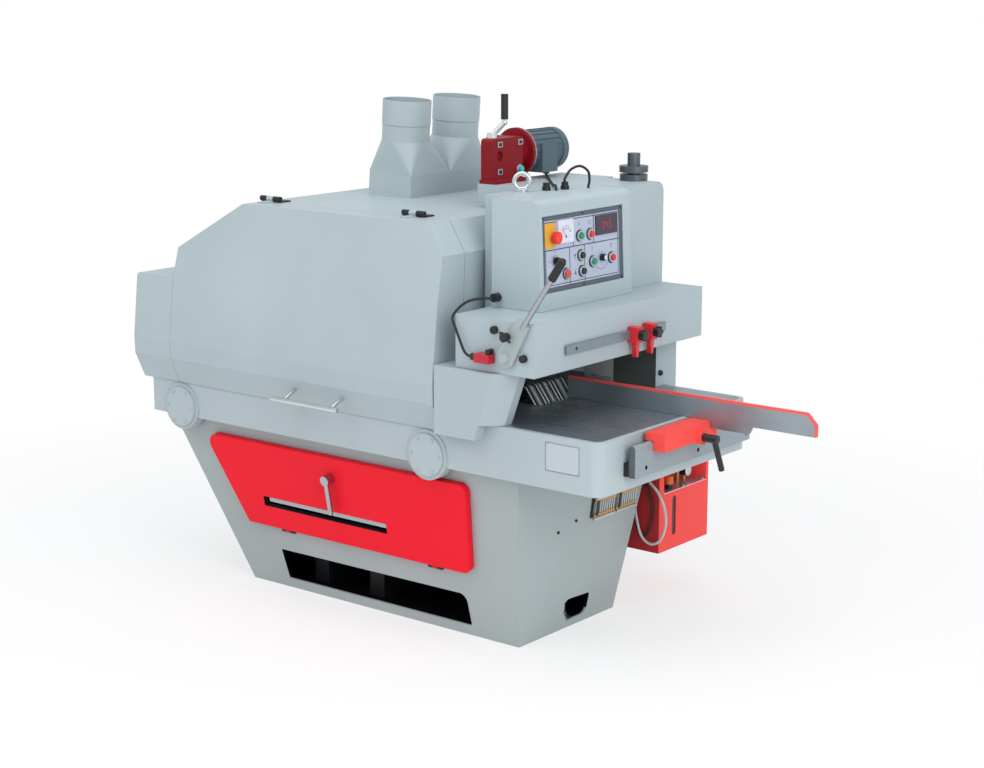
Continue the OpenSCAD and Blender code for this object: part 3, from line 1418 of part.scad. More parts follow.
// Height drive on the head: worm box, motor and hand crank on the lifting screw
motor_x = 215;
gear_x = [232, 284];
gear_y = [22, 196];
gear_back_x = [160, 284];
gear_back_y = [140, 196];
gear_h = 158;
gear_foot_h = 14;
flange_y = [236, 254];
flange_r = 86;
neck_r = 60;
gear_motor_r = 76;
gear_motor_y = [254, 478];
gear_rise = 96;
gear_axis_z = head_top + gear_rise;
screw_x = 258;
screw_y = 52;
screw_r = 14;
screw_rise = 210;
screw_low = table_h + screw_rise;
crank_hub_r = 18;
crank_hub_h = 18;
crank_r = 44;
crank_rise = 46;
crank_arm_r = 9;
crank_grip_r = 13;
crank_grip_l = 88;
crank_lean = 38;
gear_round = 14;
gear_bore_y = 62;
gear_bore_d = 9;
module gearbox() {
    color("#96141f") difference() {
        union() {
            end_plate(rounded(rect(gear_y, [head_top + gear_foot_h / 2, head_top + gear_h]),
                [gear_round, gear_round, gear_round, gear_round]), gear_x);
            end_plate(rounded(rect(gear_back_y, [head_top + gear_foot_h / 2, head_top + gear_h]),
                [gear_round, gear_round, gear_round, gear_round]), gear_back_x);
            box([gear_x[0] - gear_foot_h / 2, gear_x[1] + gear_foot_h], gear_y,
                [head_top, head_top + gear_foot_h]);
            rod_y(motor_x, gear_axis_z, [gear_y[1] - over, flange_y[0]], neck_r);
            rod_y(motor_x, gear_axis_z, flange_y, flange_r);
        }
        rod_z(screw_x, screw_y, [head_top - over, head_top + gear_h + over], screw_r + run);
        rod_x(gear_bore_y, gear_axis_z, [gear_x[1] - gear_bore_d, gear_x[1] + over], crank_hub_r);
    }
}
cowl_l = 44;
cowl_round = 14;
motor_box_x = 300;
motor_box_y = [292, 382];
motor_box_rise = 126;
module gear_motor() {
    body = [gear_motor_y[0], gear_motor_y[1] - cowl_l];
    color("#5d6f79") {
        rod_y(motor_x, gear_axis_z, body, gear_motor_r - 4 * gap);
        rod_y(motor_x, gear_axis_z, [body[1], gear_motor_y[1] - cowl_round], gear_motor_r);
        translate([motor_x, gear_motor_y[1], gear_axis_z]) rotate([90, 0, 0])
            cylinder(h = cowl_round, r1 = gear_motor_r - cowl_round, r2 = gear_motor_r);
        for (i = [0 : fin_n - 1]) translate([motor_x, 0, gear_axis_z]) rotate([0, 360 * i / fin_n, 0])
            box([-gap, gap], [body[0] + over, body[1]], [gear_motor_r / 2, gear_motor_r]);
        box([motor_x, motor_box_x], motor_box_y, [lead_gland_z + lead_gland_h, head_top + motor_box_rise]);
    }
}
module lift_crank() {
    top = head_top + gear_h;
    color("#c9ccd0") {
        rod_z(screw_x, screw_y, [screw_low, top + gap + crank_hub_h], screw_r);
        difference() {
            rod_z(screw_x, screw_y, [top + gap, top + gap + crank_hub_h], crank_hub_r);
            rod_z(screw_x, screw_y, [screw_low, top + 2 * crank_hub_h], screw_r);
        }
        translate([screw_x, screw_y, top + gap + crank_hub_h - crank_arm_r]) rotate([0, 0, crank_lean]) {
            rotate([0, atan2(crank_r, crank_rise), 0]) translate([0, 0, screw_r])
                cylinder(h = norm([crank_r, crank_rise]) - screw_r, r = crank_arm_r);
            translate([crank_r, 0, crank_rise]) sphere(r = crank_arm_r + gap);
            translate([crank_r, 0, crank_rise]) cylinder(h = crank_arm_r + 2 * gap, r = crank_arm_r);
            translate([crank_r, 0, crank_rise + crank_arm_r + 2 * gap])
                cylinder(h = crank_grip_l, r = crank_grip_r);
        }
    }
}

// Pressure frame: rises on the screw and two guide rods, and carries two rollers
frame_rise = 326;
frame_z = table_h + frame_rise;
frame_beam_h = 66;
frame_beam_w = 70;
frame_beam_y = [screw_y - frame_beam_w / 2, screw_y + frame_beam_w / 2];
frame_long_x = [-520, 302];
roller_x = [10, -490];
roller_r = 55;
roller_half = 112;
roller_shaft_r = 14;
roller_gap = 14;
roller_drop = table_h + roller_r + roller_gap;
hanger_t = 18;
hanger_w = 60;
slide_y = [396, 446];
slide_h = 130;
module pressure_frame() {
    color("#7f8a8e") difference() {
        union() {
            box(frame_long_x, frame_beam_y, [frame_z, frame_z + frame_beam_h]);
            for (x = roller_x) {
                box([x - hanger_w / 2, x + hanger_w / 2], [-roller_half - gap - hanger_t, slide_y[0]],
                    [frame_z, frame_z + frame_beam_h]);
                for (y = [-roller_half - gap - hanger_t, roller_half + gap])
                    box([x - hanger_w / 2, x + hanger_w / 2], [y, y + hanger_t],
                        [roller_drop - hanger_w / 2, frame_z]);
            }
            box([guide_places[0][0] - lug_w / 2, guide_places[1][0] + lug_w / 2], slide_y,
                [frame_z, frame_z + slide_h]);
        }
        for (g = guide_places) rod_z(g[0], g[1], [0, 2 * frame_z], guide_r + run);
        rod_z(screw_x, screw_y, [0, 2 * frame_z], screw_r + run);
        for (x = roller_x) rod_y(x, roller_drop, [-hood_far, roller_half + gap + hanger_t + over],
            roller_shaft_r + run);
    }
}
roller_grooves = 7;
module pressure_roller(x) {
    difference() {
        union() {
            rod_y(x, roller_drop, [-roller_half, roller_half], roller_r);
            rod_y(x, roller_drop, [-roller_half - hanger_t, roller_half + hanger_t], roller_shaft_r);
        }
        for (i = [1 : roller_grooves]) difference() {
            y = -roller_half + 2 * roller_half * i / (roller_grooves + 1);
            rod_y(x, roller_drop, [y - 2 * gap, y + 2 * gap], roller_r + over);
            rod_y(x, roller_drop, [y - over, y + over], roller_r - 4 * gap);
        }
    }
}
module front_pressure_roller() {
    color("#8d9296") pressure_roller(roller_x[0]);
}
module rear_pressure_roller() {
    color("#8d9296") pressure_roller(roller_x[1]);
}

// Oil tank hung on the far side, with its pump deck and fittings, and the oil lines
tank_x = [520, 754];
tank_clear = 125;
tank_w = 328;
tank_near = base_w / 2 + tank_clear;
tank_y = [tank_near, tank_near + tank_w];
tank_z_shares = [0.30469, 0.92188];
tank_z = tank_z_shares * base_h;
tank_wall = 4;
deck_z_share = 0.6484;
deck_z = deck_z_share * base_h;
deck_inset = [30, 16];
deck_y = [tank_y[0] + deck_inset[0], tank_y[1] - deck_inset[1]];
deck_depth = 150;
sight_in = [86, 112];
sight_y = [for (d = sight_in) tank_near + d];
sight_z_shares = [0.3828, 0.6156];
sight_z = sight_z_shares * base_h;
sight_t = 4;
sight_round = 12;
tank_arm_x = [545, 620];
tank_arm_w = 30;
tank_arm_z_shares = [0.75, 0.78125];
tank_arm_z = tank_arm_z_shares * base_h;
filler_inset = [32, 108];
filler_place = [tank_x[1] - filler_inset[0], tank_near + filler_inset[1]];
filler_r = 15;
filler_h = 18;
cap_rim = 2;
filler_cap_h = 28;
gauge_inset = [42, 256];
gauge_place = [tank_x[1] - gauge_inset[0], tank_near + gauge_inset[1]];
gauge_r = 20;
gauge_h = 40;
gauge_z = 36;
union_inset = [64, 214];
union_place = [tank_x[1] - union_inset[0], tank_near + union_inset[1]];
union_r = 7;
union_h = 58;
module oil_tank() {
    color("#dd4a46") {
        difference() {
            box(tank_x, tank_y, tank_z);
            box([tank_x[0] + tank_wall, tank_x[1] - tank_wall],
                [tank_y[0] + tank_wall, tank_y[1] - tank_wall],
                [tank_z[0] + tank_wall, deck_z - tank_wall]);
            box([tank_x[1] - deck_depth, tank_x[1] + over], deck_y, [deck_z, tank_z[1] - tank_wall]);
            end_plate(soft_rect(sight_y, sight_z, sight_round),
                [tank_x[1] - tank_wall - over, tank_x[1] + over]);
        }
        box([tank_x[1] - tank_wall - sight_t, tank_x[1] - tank_wall],
            [sight_y[0] - over, sight_y[1] + over],
            [sight_z[0] - over, sight_z[1] + over]);
        difference() {
            for (x = tank_arm_x) box([x - tank_arm_w / 2, x + tank_arm_w / 2], [base_w / 2, tank_y[0]],
                tank_arm_z);
            base_solid(0, 0, base_h);
        }
        rod_z(filler_place[0], filler_place[1], [deck_z, deck_z + filler_h], filler_r);
        rod_z(filler_place[0], filler_place[1], [deck_z + filler_h, deck_z + filler_h + filler_cap_h],
            filler_r + cap_rim);
        rod_x(gauge_place[1], deck_z + gauge_z, [gauge_place[0] - gauge_h, gauge_place[0]], gauge_r);
        rod_z(gauge_place[0] - gauge_h / 2, gauge_place[1], [deck_z, deck_z + gauge_z], union_r);
        rod_z(union_place[0], union_place[1], [deck_z, deck_z + union_h], union_r);
    }
}
hose_route = [[710, -0.6, 55], [710, -4, 55], [710, -8, 55], [722, -16, 48], [758, -20, 20],
    [788, -20, -30], [797, -20, -95], [776, -20, -158], [734, -20, -182], [692, -20, -158], [668, -20, -88],
    [660, -18, -26], [662, -14, 14], [664, -8, 25], [664, -4, 25], [664, -0.6, 25]];
feed_route = [[668, -0.6, 91], [668, -4, 91], [668, -7, 91], [678, -9.4, 76], [702, -10, 34],
    [724, -10, -16], [730, -10, -66], [718, -10, -126], [692, -10, -164], [666, -10, -136], [650, -10, -76],
    [646, -9, -22], [646, -7, -4], [646, -4, -4], [646, -0.6, -4]];
module oil_hose() {
    color("#b9b9b6") translate([0, tank_near, deck_z]) {
        tube(hose_route, hose_r, cable_steps, cable_sides);
        tube(feed_route, cable_r, cable_steps, cable_sides);
    }
}

base_frame();
base_door();
door_hinges();
base_door_latch();
levelling_screws();
bed_casting();
table_plate();
bearing_covers();
feed_chain();
front_chain_shaft();
rear_chain_shaft();
lower_fingers();
hood_shell();
hood_door();
hood_handle();
side_covers();
dust_duct();
infeed_beam();
head_casting();
head_fittings();
control_box();
control_panel();
e_stop();
start_button();
stop_button();
feed_start_button();
feed_stop_button();
up_button();
down_button();
selector_switch();
speed_knob();
lift_lever();
lever_grip();
upper_fingers();
index_plunger();
stop_buffers();
limit_switch();
switch_cable();
motor_leads();
cable_glands();
pointer_bar();
left_pointer();
right_pointer();
fence_plate();
fence_clamp();
clamp_lever();
fence_rail();
saw_arbor();
saw_blades();
main_motor();
motor_pulley();
drive_belts();
gearbox();
gear_motor();
lift_crank();
pressure_frame();
front_pressure_roller();
rear_pressure_roller();
oil_tank();
oil_hose();
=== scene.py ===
"""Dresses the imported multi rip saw: finishes, cables, panel details, studio and camera."""
from __future__ import annotations

import logging
import math
from contextlib import contextmanager
from dataclasses import dataclass, field
from enum import Enum
from typing import Any, Callable, Iterator, Sequence, Union

import bpy
from mathutils import Matrix, Vector

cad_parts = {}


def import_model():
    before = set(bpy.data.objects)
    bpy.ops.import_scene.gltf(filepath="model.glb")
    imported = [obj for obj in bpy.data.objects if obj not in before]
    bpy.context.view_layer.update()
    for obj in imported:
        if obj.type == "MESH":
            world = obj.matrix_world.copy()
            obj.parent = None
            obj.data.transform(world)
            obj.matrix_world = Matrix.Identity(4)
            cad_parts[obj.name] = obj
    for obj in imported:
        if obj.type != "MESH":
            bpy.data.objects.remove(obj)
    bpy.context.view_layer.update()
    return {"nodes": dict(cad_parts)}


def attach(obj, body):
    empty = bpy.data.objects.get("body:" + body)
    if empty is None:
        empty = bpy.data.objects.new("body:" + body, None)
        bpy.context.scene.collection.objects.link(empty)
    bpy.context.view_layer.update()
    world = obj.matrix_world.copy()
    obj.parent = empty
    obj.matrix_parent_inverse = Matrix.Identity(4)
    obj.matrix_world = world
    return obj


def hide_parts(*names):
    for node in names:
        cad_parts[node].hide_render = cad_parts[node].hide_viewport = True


LOG = logging.getLogger("rip_saw")
Colour = tuple[float, float, float]
Point = tuple[float, float, float]
Pair = tuple[float, float]
Pairs = tuple[Pair, ...]
Points = tuple[Point, ...]
Box = tuple[Point, Point]
Number = Union[float, "Val"]
Piece = bpy.types.Object
Socket = bpy.types.NodeSocket
Material = bpy.types.Material

QUARTER = math.radians(90)
# Share of a normal along an axis: a face looks that way above the first, and aside below the second
FACING, ASIDE = 0.9, 0.5
# Past every point of the machine, in metres
ANYWHERE = 9.0
# Height of the oil tank's deck
DECK_MM = 414.976
DECK = DECK_MM / 1000


def tone(*channels: int) -> Colour:
    """Turns a colour as seen on a screen into the linear values that shaders take.

    Args:
        channels: Red, green and blue from 0 to 255.

    Returns:
        The linear colour.
    """
    def line(share: float) -> float:
        """Linear value of one channel, by the screen's standard curve."""
        return share / 12.92 if share <= 0.04045 else ((share + 0.055) / 1.055) ** 2.4
    return tuple(line(value / 255) for value in channels)


def shade(colour: Colour, factor: float, lift: float = 0.0) -> Colour:
    """Makes a colour darker or lighter, up to full white."""
    return tuple(min(1.0, c * factor + lift) for c in colour)


def inside(point: Sequence[float], low: Point, high: Point) -> bool:
    """Tells whether a point lies in a box between two corners."""
    return all(a < p < b for a, p, b in zip(low, point, high))


def facing(place: Sequence[float], axis: str) -> Matrix:
    """Matrix that puts a piece at a place, a quarter turn about an axis."""
    return Matrix.Translation(place) @ Matrix.Rotation(QUARTER, 4, axis)


def fan(half: float, count: int) -> list[float]:
    """Equal turns in degrees, from one side of a scale to the other."""
    return [half - i * 2 * half / (count - 1) for i in range(count)]


def operator(operation: str, swapped: bool = False) -> Callable[["Val", Number], "Val"]:
    """Makes a Python operator that adds a Math node.

    Args:
        operation: The node's operation.
        swapped: Whether the other value comes first.

    Returns:
        The operator's method.
    """
    def method(self: "Val", other: Number) -> "Val":
        """Value of the new Math node."""
        return self.graph.math(operation, *((other, self) if swapped else (self, other)))
    return method


class Val:
    """A number that a shader works out; Python operators on it add Math nodes, and | takes the larger."""

    __add__ = __radd__ = operator("ADD")
    __sub__, __rsub__ = operator("SUBTRACT"), operator("SUBTRACT", True)
    __mul__ = __rmul__ = operator("MULTIPLY")
    __truediv__ = operator("DIVIDE")
    __pow__ = operator("POWER")
    __gt__ = operator("GREATER_THAN")
    __or__ = operator("MAXIMUM")

    def __init__(self, graph: "Graph", socket: Socket) -> None:
        """Wraps an output socket of a graph."""
        self.graph = graph
        self.socket = socket

    def fit(self, low: float, high: float) -> "Val":
        """Share of the way from low to high, held between zero and one."""
        share = (self - low) / (high - low) | 0.0
        return self.graph.math("MINIMUM", share, 1.0)


class Graph:
    """Node tree of one material or world, with the one method that adds nodes to it."""

    def __init__(self, owner: Union[Material, bpy.types.World]) -> None:
        """Takes a new material or world and empties its tree.

        Args:
            owner: The material or world.
        """
        self.owner = owner
        owner.use_nodes = True
        self.tree = owner.node_tree
        self.tree.nodes.clear()
        self._place: Socket | None = None

    @classmethod
    def of(cls, name: str) -> "Graph":
        """Starts the graph of a new material."""
        return cls(bpy.data.materials.new(name))

    def add(self, kind: str, settings: dict[str, Any] | None = None,
            sockets: dict[Union[str, int], Any] | None = None) -> bpy.types.Node:
        """Adds a node, sets it up and feeds its sockets.

        Args:
            kind: Node type without its ShaderNode prefix.
            settings: Attributes of the node, such as an operation, which are set first.
            sockets: Values, or outputs to link, by the input's name or number.

        Returns:
            The new node.
        """
        node = self.tree.nodes.new("ShaderNode" + kind)
        for key, value in (settings or {}).items():
            setattr(node, key, value)
        for key, value in (sockets or {}).items():
            source = value.socket if isinstance(value, Val) else value
            if isinstance(source, Socket):
                self.tree.links.new(source, node.inputs[key])
            elif node.inputs[key].type == "RGBA":
                node.inputs[key].default_value = (*source, 1.0)
            else:
                node.inputs[key].default_value = source
        return node

    def math(self, operation: str, first: Number, second: Number) -> Val:
        """Adds one Math node and returns its value."""
        return Val(self, self.add("Math", {"operation": operation}, {0: first, 1: second}).outputs[0])

    @property
    def place(self) -> Socket:
        """Object coordinates, shared by the whole graph.

        Returns:
            Their socket.
        """
        if self._place is None:
            self._place = self.add("TexCoord").outputs["Object"]
        return self._place

    def axis(self, name: str) -> Val:
        """One coordinate of the surface point: X, Y or Z."""
        return Val(self, self.add("SeparateXYZ", None, {0: self.place}).outputs[name])

    def noise(self, scale: float, detail: float = 2.0, stretch: Point = (1, 1, 1)) -> Val:
        """Soft noise from zero to one.

        Args:
            scale: Grain per metre.
            detail: Finer layers in the noise.
            stretch: Factor on each axis, to draw the grain out into lines.

        Returns:
            The noise value.
        """
        spot = self.add("Mapping", None, {"Vector": self.place, "Scale": stretch}).outputs[0]
        node = self.add("TexNoise", None, {"Vector": spot, "Scale": scale, "Detail": detail})
        return Val(self, node.outputs[0])

    def mix(self, first: Any, second: Any, share: Number) -> Socket:
        """Mixes two colours by a share and returns the colour."""
        return self.add("Mix", {"data_type": "RGBA"}, {0: share, 6: first, 7: second}).outputs[2]

    def edge(self, radius: float) -> tuple[Val, Socket]:
        """Finds the edges of a piece.

        Args:
            radius: Width of the rounded edge in metres.

        Returns:
            A mask that is one on edges, and the rounded normal.
        """
        rounded = self.add("Bevel", {"samples": 6}, {"Radius": radius}).outputs[0]
        flat = self.add("NewGeometry").outputs["Normal"]
        dot = self.add("VectorMath", {"operation": "DOT_PRODUCT"}, {0: rounded, 1: flat}).outputs["Value"]
        return (1 - Val(self, dot)).fit(0.01, 0.16), rounded

    def skin(self, colour: Socket, rough: Val, bump: tuple[Val, float, float, Socket],
             more: dict[str, Any] | None = None) -> Material:
        """Closes the graph with the shader of a solid surface.

        Args:
            colour: Its colour.
            rough: Its roughness.
            bump: Height, strength and depth of its bump, and the normal below it.
            more: Further sockets of the shader.

        Returns:
            The material.
        """
        fed = dict(zip(("Height", "Strength", "Distance", "Normal"), bump))
        return self.close(self.add("BsdfPrincipled", None, {
            "Base Color": colour, "Roughness": rough, "Normal": self.add("Bump", None, fed).outputs[0],
            **(more or {})}))

    def close(self, shader: bpy.types.Node, out: str = "OutputMaterial") -> Union[Material, bpy.types.World]:
        """Joins the shader to the output and returns the material or world."""
        self.add(out, None, {"Surface": shader.outputs[0]})
        return self.owner


@dataclass(frozen=True)
class Paint:
    """Sprayed or cast-and-painted metal with fine orange peel, faint clouds, and lighter edges that stand
    partly for rubbed paint and partly for a painted highlight.
    """

    name: str
    colour: Colour
    roughness: float = 0.42
    cloud: float = 0.06
    peel: float = 0.05
    peel_scale: float = 260.0
    wear_and_sheen: float = 0.35
    edge_colour: Colour | None = None
    radius: float = 0.003
    gloss: float = 0.35
    cloud_scale: float = 1.6
    dust_scale: float = 34.0
    wear_and_sheen_factor: float = 1.22
    depth: float = 0.002

    def build(self) -> Material:
        """Makes the material.

        Returns:
            The material.
        """
        graph = Graph.of(self.name)
        cloud, dust = graph.noise(self.cloud_scale, 4.0), graph.noise(self.dust_scale, 3.0)
        mask, rounded = graph.edge(self.radius)
        dark, light = shade(self.colour, 1 - self.cloud), shade(self.colour, 1 + self.cloud)
        # Lighter edges in patches: partly rubbed paint, partly a painted highlight on the rounded edges.
        worn_and_lit = self.edge_colour or shade(self.colour, self.wear_and_sheen_factor)
        body = graph.mix(dark, light, cloud.fit(0.3, 0.7))
        colour = graph.mix(body, worn_and_lit, mask * dust.fit(0.3, 0.75) * self.wear_and_sheen)
        rough = (cloud - 0.5) * 0.1 + (dust - 0.5) * 0.12 + self.roughness
        bump = graph.noise(self.peel_scale), self.peel, self.depth, rounded
        return graph.skin(colour, rough, bump, {"Specular IOR Level": self.gloss})


class Grain(Enum):
    """Way that the tool marks of a metal run."""

    ALONG_X = (0.02, 1.0, 1.0)
    ALONG_Y = (1.0, 0.02, 1.0)
    ALONG_Z = (1.0, 1.0, 0.02)
    EVEN = (1.0, 1.0, 1.0)


@dataclass(frozen=True)
class Metal:
    """Bare metal with tool marks, a few stains and a painted highlight along its edges."""

    name: str
    colour: Colour
    roughness: float = 0.32
    grain: Grain = Grain.EVEN
    scale: float = 240.0
    marks: float = 0.12
    stain: float = 0.15
    metallic: float = 1.0
    blot_scale: float = 9.0
    radius: float = 0.0015
    depth: float = 0.0006

    def build(self) -> Material:
        """Makes the material.

        Returns:
            The material.
        """
        graph = Graph.of(self.name)
        line = graph.noise(self.scale, 3.0, self.grain.value)
        blot = graph.noise(self.blot_scale, 4.0)
        mask, rounded = graph.edge(self.radius)
        stained = graph.mix(self.colour, shade(self.colour, 1 - self.stain), blot.fit(0.42, 0.7))
        # Painted highlight: every edge is lightened evenly.
        colour = graph.mix(stained, shade(self.colour, 1.25, 0.03), mask * 0.6)
        rough = (line - 0.5) * self.marks * 2 + (blot - 0.5) * 0.12 + self.roughness
        return graph.skin(colour, rough, (line, self.marks, self.depth, rounded), {"Metallic": self.metallic})


@dataclass(frozen=True)
class Plastic:
    """Moulded plastic, rubber or ink with a fine grain and a painted highlight along its edges."""

    name: str
    colour: Colour
    roughness: float = 0.45
    grain: float = 0.06
    scale: float = 900.0
    glow: float = 0.0
    smear_scale: float = 40.0
    radius: float = 0.0012
    depth: float = 0.0004

    def build(self) -> Material:
        """Makes the material.

        Returns:
            The material.
        """
        graph = Graph.of(self.name)
        smear = graph.noise(self.smear_scale, 3.0)
        mask, rounded = graph.edge(self.radius)
        body = graph.mix(self.colour, shade(self.colour, 0.86), smear.fit(0.35, 0.7))
        # Painted highlight: every edge is lightened evenly.
        colour = graph.mix(body, shade(self.colour, 1.25, 0.012), mask * 0.5)
        rough = (smear - 0.5) * 0.16 + self.roughness
        glow = {"Emission Color": self.colour, "Emission Strength": self.glow} if self.glow else None
        return graph.skin(colour, rough, (graph.noise(self.scale), self.grain, self.depth, rounded), glow)


@dataclass(frozen=True)
class FencePaint:
    """Ground steel plate with a painted band along its top edge and its tip."""

    name: str
    steel: Colour
    band: Colour
    top: float
    tip: float
    slant: float
    width: float = 0.009
    roughness: float = 0.36
    marks: float = 0.08
    depth: float = 0.0005
    radius: float = 0.0012
    metallic: float = 0.75

    def build(self) -> Material:
        """Makes the material.

        Returns:
            The material.
        """
        graph = Graph.of(self.name)
        x, z = graph.axis("X"), graph.axis("Z")
        line = graph.noise(170.0, 3.0, Grain.ALONG_X.value)
        blot = graph.noise(7.0, 4.0)
        corner = (x + z) > (self.tip + self.top - self.slant - self.width * 1.41)
        paint = ((z > self.top - self.width) | (x > self.tip - self.width)) | corner
        rounded = graph.edge(self.radius)[1]
        steel = graph.mix(self.steel, shade(self.steel, 0.8), blot.fit(0.4, 0.72))
        colour = graph.mix(steel, self.band, paint)
        rough = (line - 0.5) * 0.2 + self.roughness
        return graph.skin(colour, rough, (line, self.marks, self.depth, rounded),
                          {"Metallic": (1 - paint) * self.metallic})


class Stock:
    """All finishes of the machine, built once and looked up by name."""

    def __init__(self) -> None:
        """Builds every finish."""
        red = {"cloud": 0.04, "peel_scale": 240.0, "wear_and_sheen": 0.3, "gloss": 0.12}
        sheet = {"cloud": 0.03, "peel": 0.03, "peel_scale": 320.0, "wear_and_sheen": 0.1}
        cast = {"cloud": 0.08, "peel": 0.12, "peel_scale": 150.0}
        print_coat = {"cloud": 0.04, "peel": 0.03}
        finishes = [
            Paint("hood_grey", tone(175, 189, 192), 0.4),
            Paint("head_grey", tone(174, 189, 193)),
            Paint("base_grey", tone(168, 177, 177), 0.46),
            Paint("frame_grey", tone(128, 138, 142), 0.5),
            Paint("cast_grey", tone(178, 190, 193), 0.45, peel=0.1, peel_scale=150.0),
            Paint("door_red", tone(244, 26, 46), 0.4, radius=0.005, **red),
            Paint("coral_red", tone(250, 84, 78), radius=0.002, **red),
            # Painted shade: a darker copy of the tank's coral red for its near wall.
            Paint("tank_shade", tone(180, 52, 54), radius=0.002, **red),
            Paint("gear_red", tone(134, 20, 30), 0.4, cloud=0.08, peel=0.16, peel_scale=140.0, wear_and_sheen=0.4,
                  radius=0.004, gloss=0.18),
            Paint("motor_blue", tone(82, 102, 112), 0.44, **cast),
            # Painted shade: the main motor is near black to stand for the dark inside of the base.
            Paint("motor_dark", tone(30, 34, 37), 0.5, wear_and_sheen=0.2, **cast),
            # Painted shade: near black for the inside of the base.
            Paint("inner_dark", tone(20, 21, 22), 0.6, wear_and_sheen=0.1, gloss=0.1),
            Paint("hinge_black", tone(34, 36, 38), cloud=0.1, peel=0.1, wear_and_sheen=0.5,
                  edge_colour=tone(90, 94, 98), radius=0.0015),
            Paint("panel_slate", tone(84, 96, 108), 0.4, **print_coat),
            Paint("panel_yellow", tone(228, 170, 52), 0.4, **print_coat),
            Paint("panel_lavender", tone(178, 188, 207), **sheet),
            Paint("plate_pale", tone(188, 197, 202), 0.36, **sheet),
            Paint("lever_grey", tone(170, 181, 182), 0.4, cloud=0.04),
            # Painted light: a pale, diffuse copy of the finger steel for the lit fingers.
            Paint("finger_pale", tone(206, 214, 210), 0.4, cloud=0.08, peel=0.1),
            # Painted shade: a dark grey for faces deep in the throat.
            Paint("throat_shade", tone(98, 104, 102), 0.55, peel=0.08, peel_scale=220.0),
            Paint("rail_grey", tone(144, 157, 162), 0.36, cloud=0.05, peel=0.06, peel_scale=180.0),
            Plastic("grip_black", tone(22, 23, 24), 0.34, grain=0.1, scale=500.0),
            Plastic("rubber", tone(24, 25, 26), 0.5, grain=0.1, scale=700.0),
            Plastic("display_dark", tone(58, 42, 66), 0.18, grain=0.02),
            Plastic("hose_clear", tone(196, 198, 196), 0.26, grain=0.02),
            Plastic("sight_dark", tone(60, 28, 30), 0.15, grain=0.02),
            Plastic("digit_red", tone(206, 40, 66), 0.4, grain=0.02, glow=0.35),
            FencePaint("fence_steel", tone(160, 170, 177), tone(244, 88, 88), 0.898, 1.583, 0.036)]
        # Colour, roughness, grain, then the scale and strength of the marks, the stain and the metallic share
        metals = {
            "table_steel": (160, 171, 178, 0.28, Grain.ALONG_X, 150.0, 0.14, 0.2, 0.7),
            "chain_steel": (84, 88, 92, 0.45, Grain.EVEN, 120.0, 0.2, 0.3, 0.8),
            "shaft_steel": (150, 155, 160, 0.34, Grain.ALONG_Y),
            "finger_steel": (176, 182, 184, 0.36, Grain.ALONG_Z, 200.0, 0.14, 0.2, 0.8),
            "bright_steel": (214, 219, 222, 0.2, Grain.EVEN, 300.0, 0.05, 0.08),
            "zinc": (196, 201, 204, 0.34, Grain.EVEN, 160.0, 0.1, 0.12, 0.85),
            "blade_steel": (200, 204, 207, 0.24, Grain.EVEN, 220.0),
            "cap_grey": (96, 104, 108, 0.38, Grain.EVEN, 160.0, 0.12, 0.2, 0.7),
            "bar_grey": (134, 147, 155, 0.4, Grain.ALONG_Y, 180.0, 0.1, 0.1, 0.5),
            "brass": (196, 160, 108, 0.36, Grain.EVEN, 200.0, 0.1, 0.2, 0.8),
            "rod_steel": (178, 183, 190, 0.24, Grain.EVEN, 260.0, 0.06, 0.1),
            "comb_steel": (206, 211, 213, 0.3, Grain.ALONG_Z, 200.0, 0.12, 0.12, 0.7),
            "rail_end": (112, 118, 116, 0.5, Grain.EVEN, 420.0, 0.4, 0.25, 0.6)}
        # Colour and roughness
        plastics = {
            "black_plastic": (26, 27, 29, 0.4), "red_plastic": (222, 44, 40, 0.3),
            "estop_red": (248, 58, 34, 0.28), "switch_red": (192, 30, 44, 0.34),
            "pointer_red": (226, 42, 50, 0.36), "green_plastic": (12, 150, 106, 0.3),
            "lamp_red": (208, 78, 74, 0.25), "meter_white": (222, 226, 238, 0.3),
            "ink_dark": (48, 52, 78, 0.5), "ink_red": (206, 60, 70, 0.5),
            "orange_plastic": (226, 108, 40, 0.36), "cyan_plastic": (70, 196, 200, 0.3)}
        for kind, table in ((Metal, metals), (Plastic, plastics)):
            finishes += [kind(name, tone(*row[:3]), *row[3:]) for name, row in table.items()]
        self.shelf = {finish.name: finish.build() for finish in finishes}

    def __getitem__(self, name: str) -> Material:
        """Material of that name."""
        return self.shelf[name]

    def dress(self, piece: Piece, finish: str, slot: str, body: str = "frame") -> Piece:
        """Gives a finished piece its material and body.

        Args:
            piece: The finished piece.
            finish: Name of its finish.
            slot: Not used.
            body: The body that it rides on.

        Returns:
            The piece.
        """
        piece.data.materials.clear()
        piece.data.materials.append(self[finish])
        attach(piece, body)
        LOG.info("%s rides on %s", piece.name, body)
        return piece


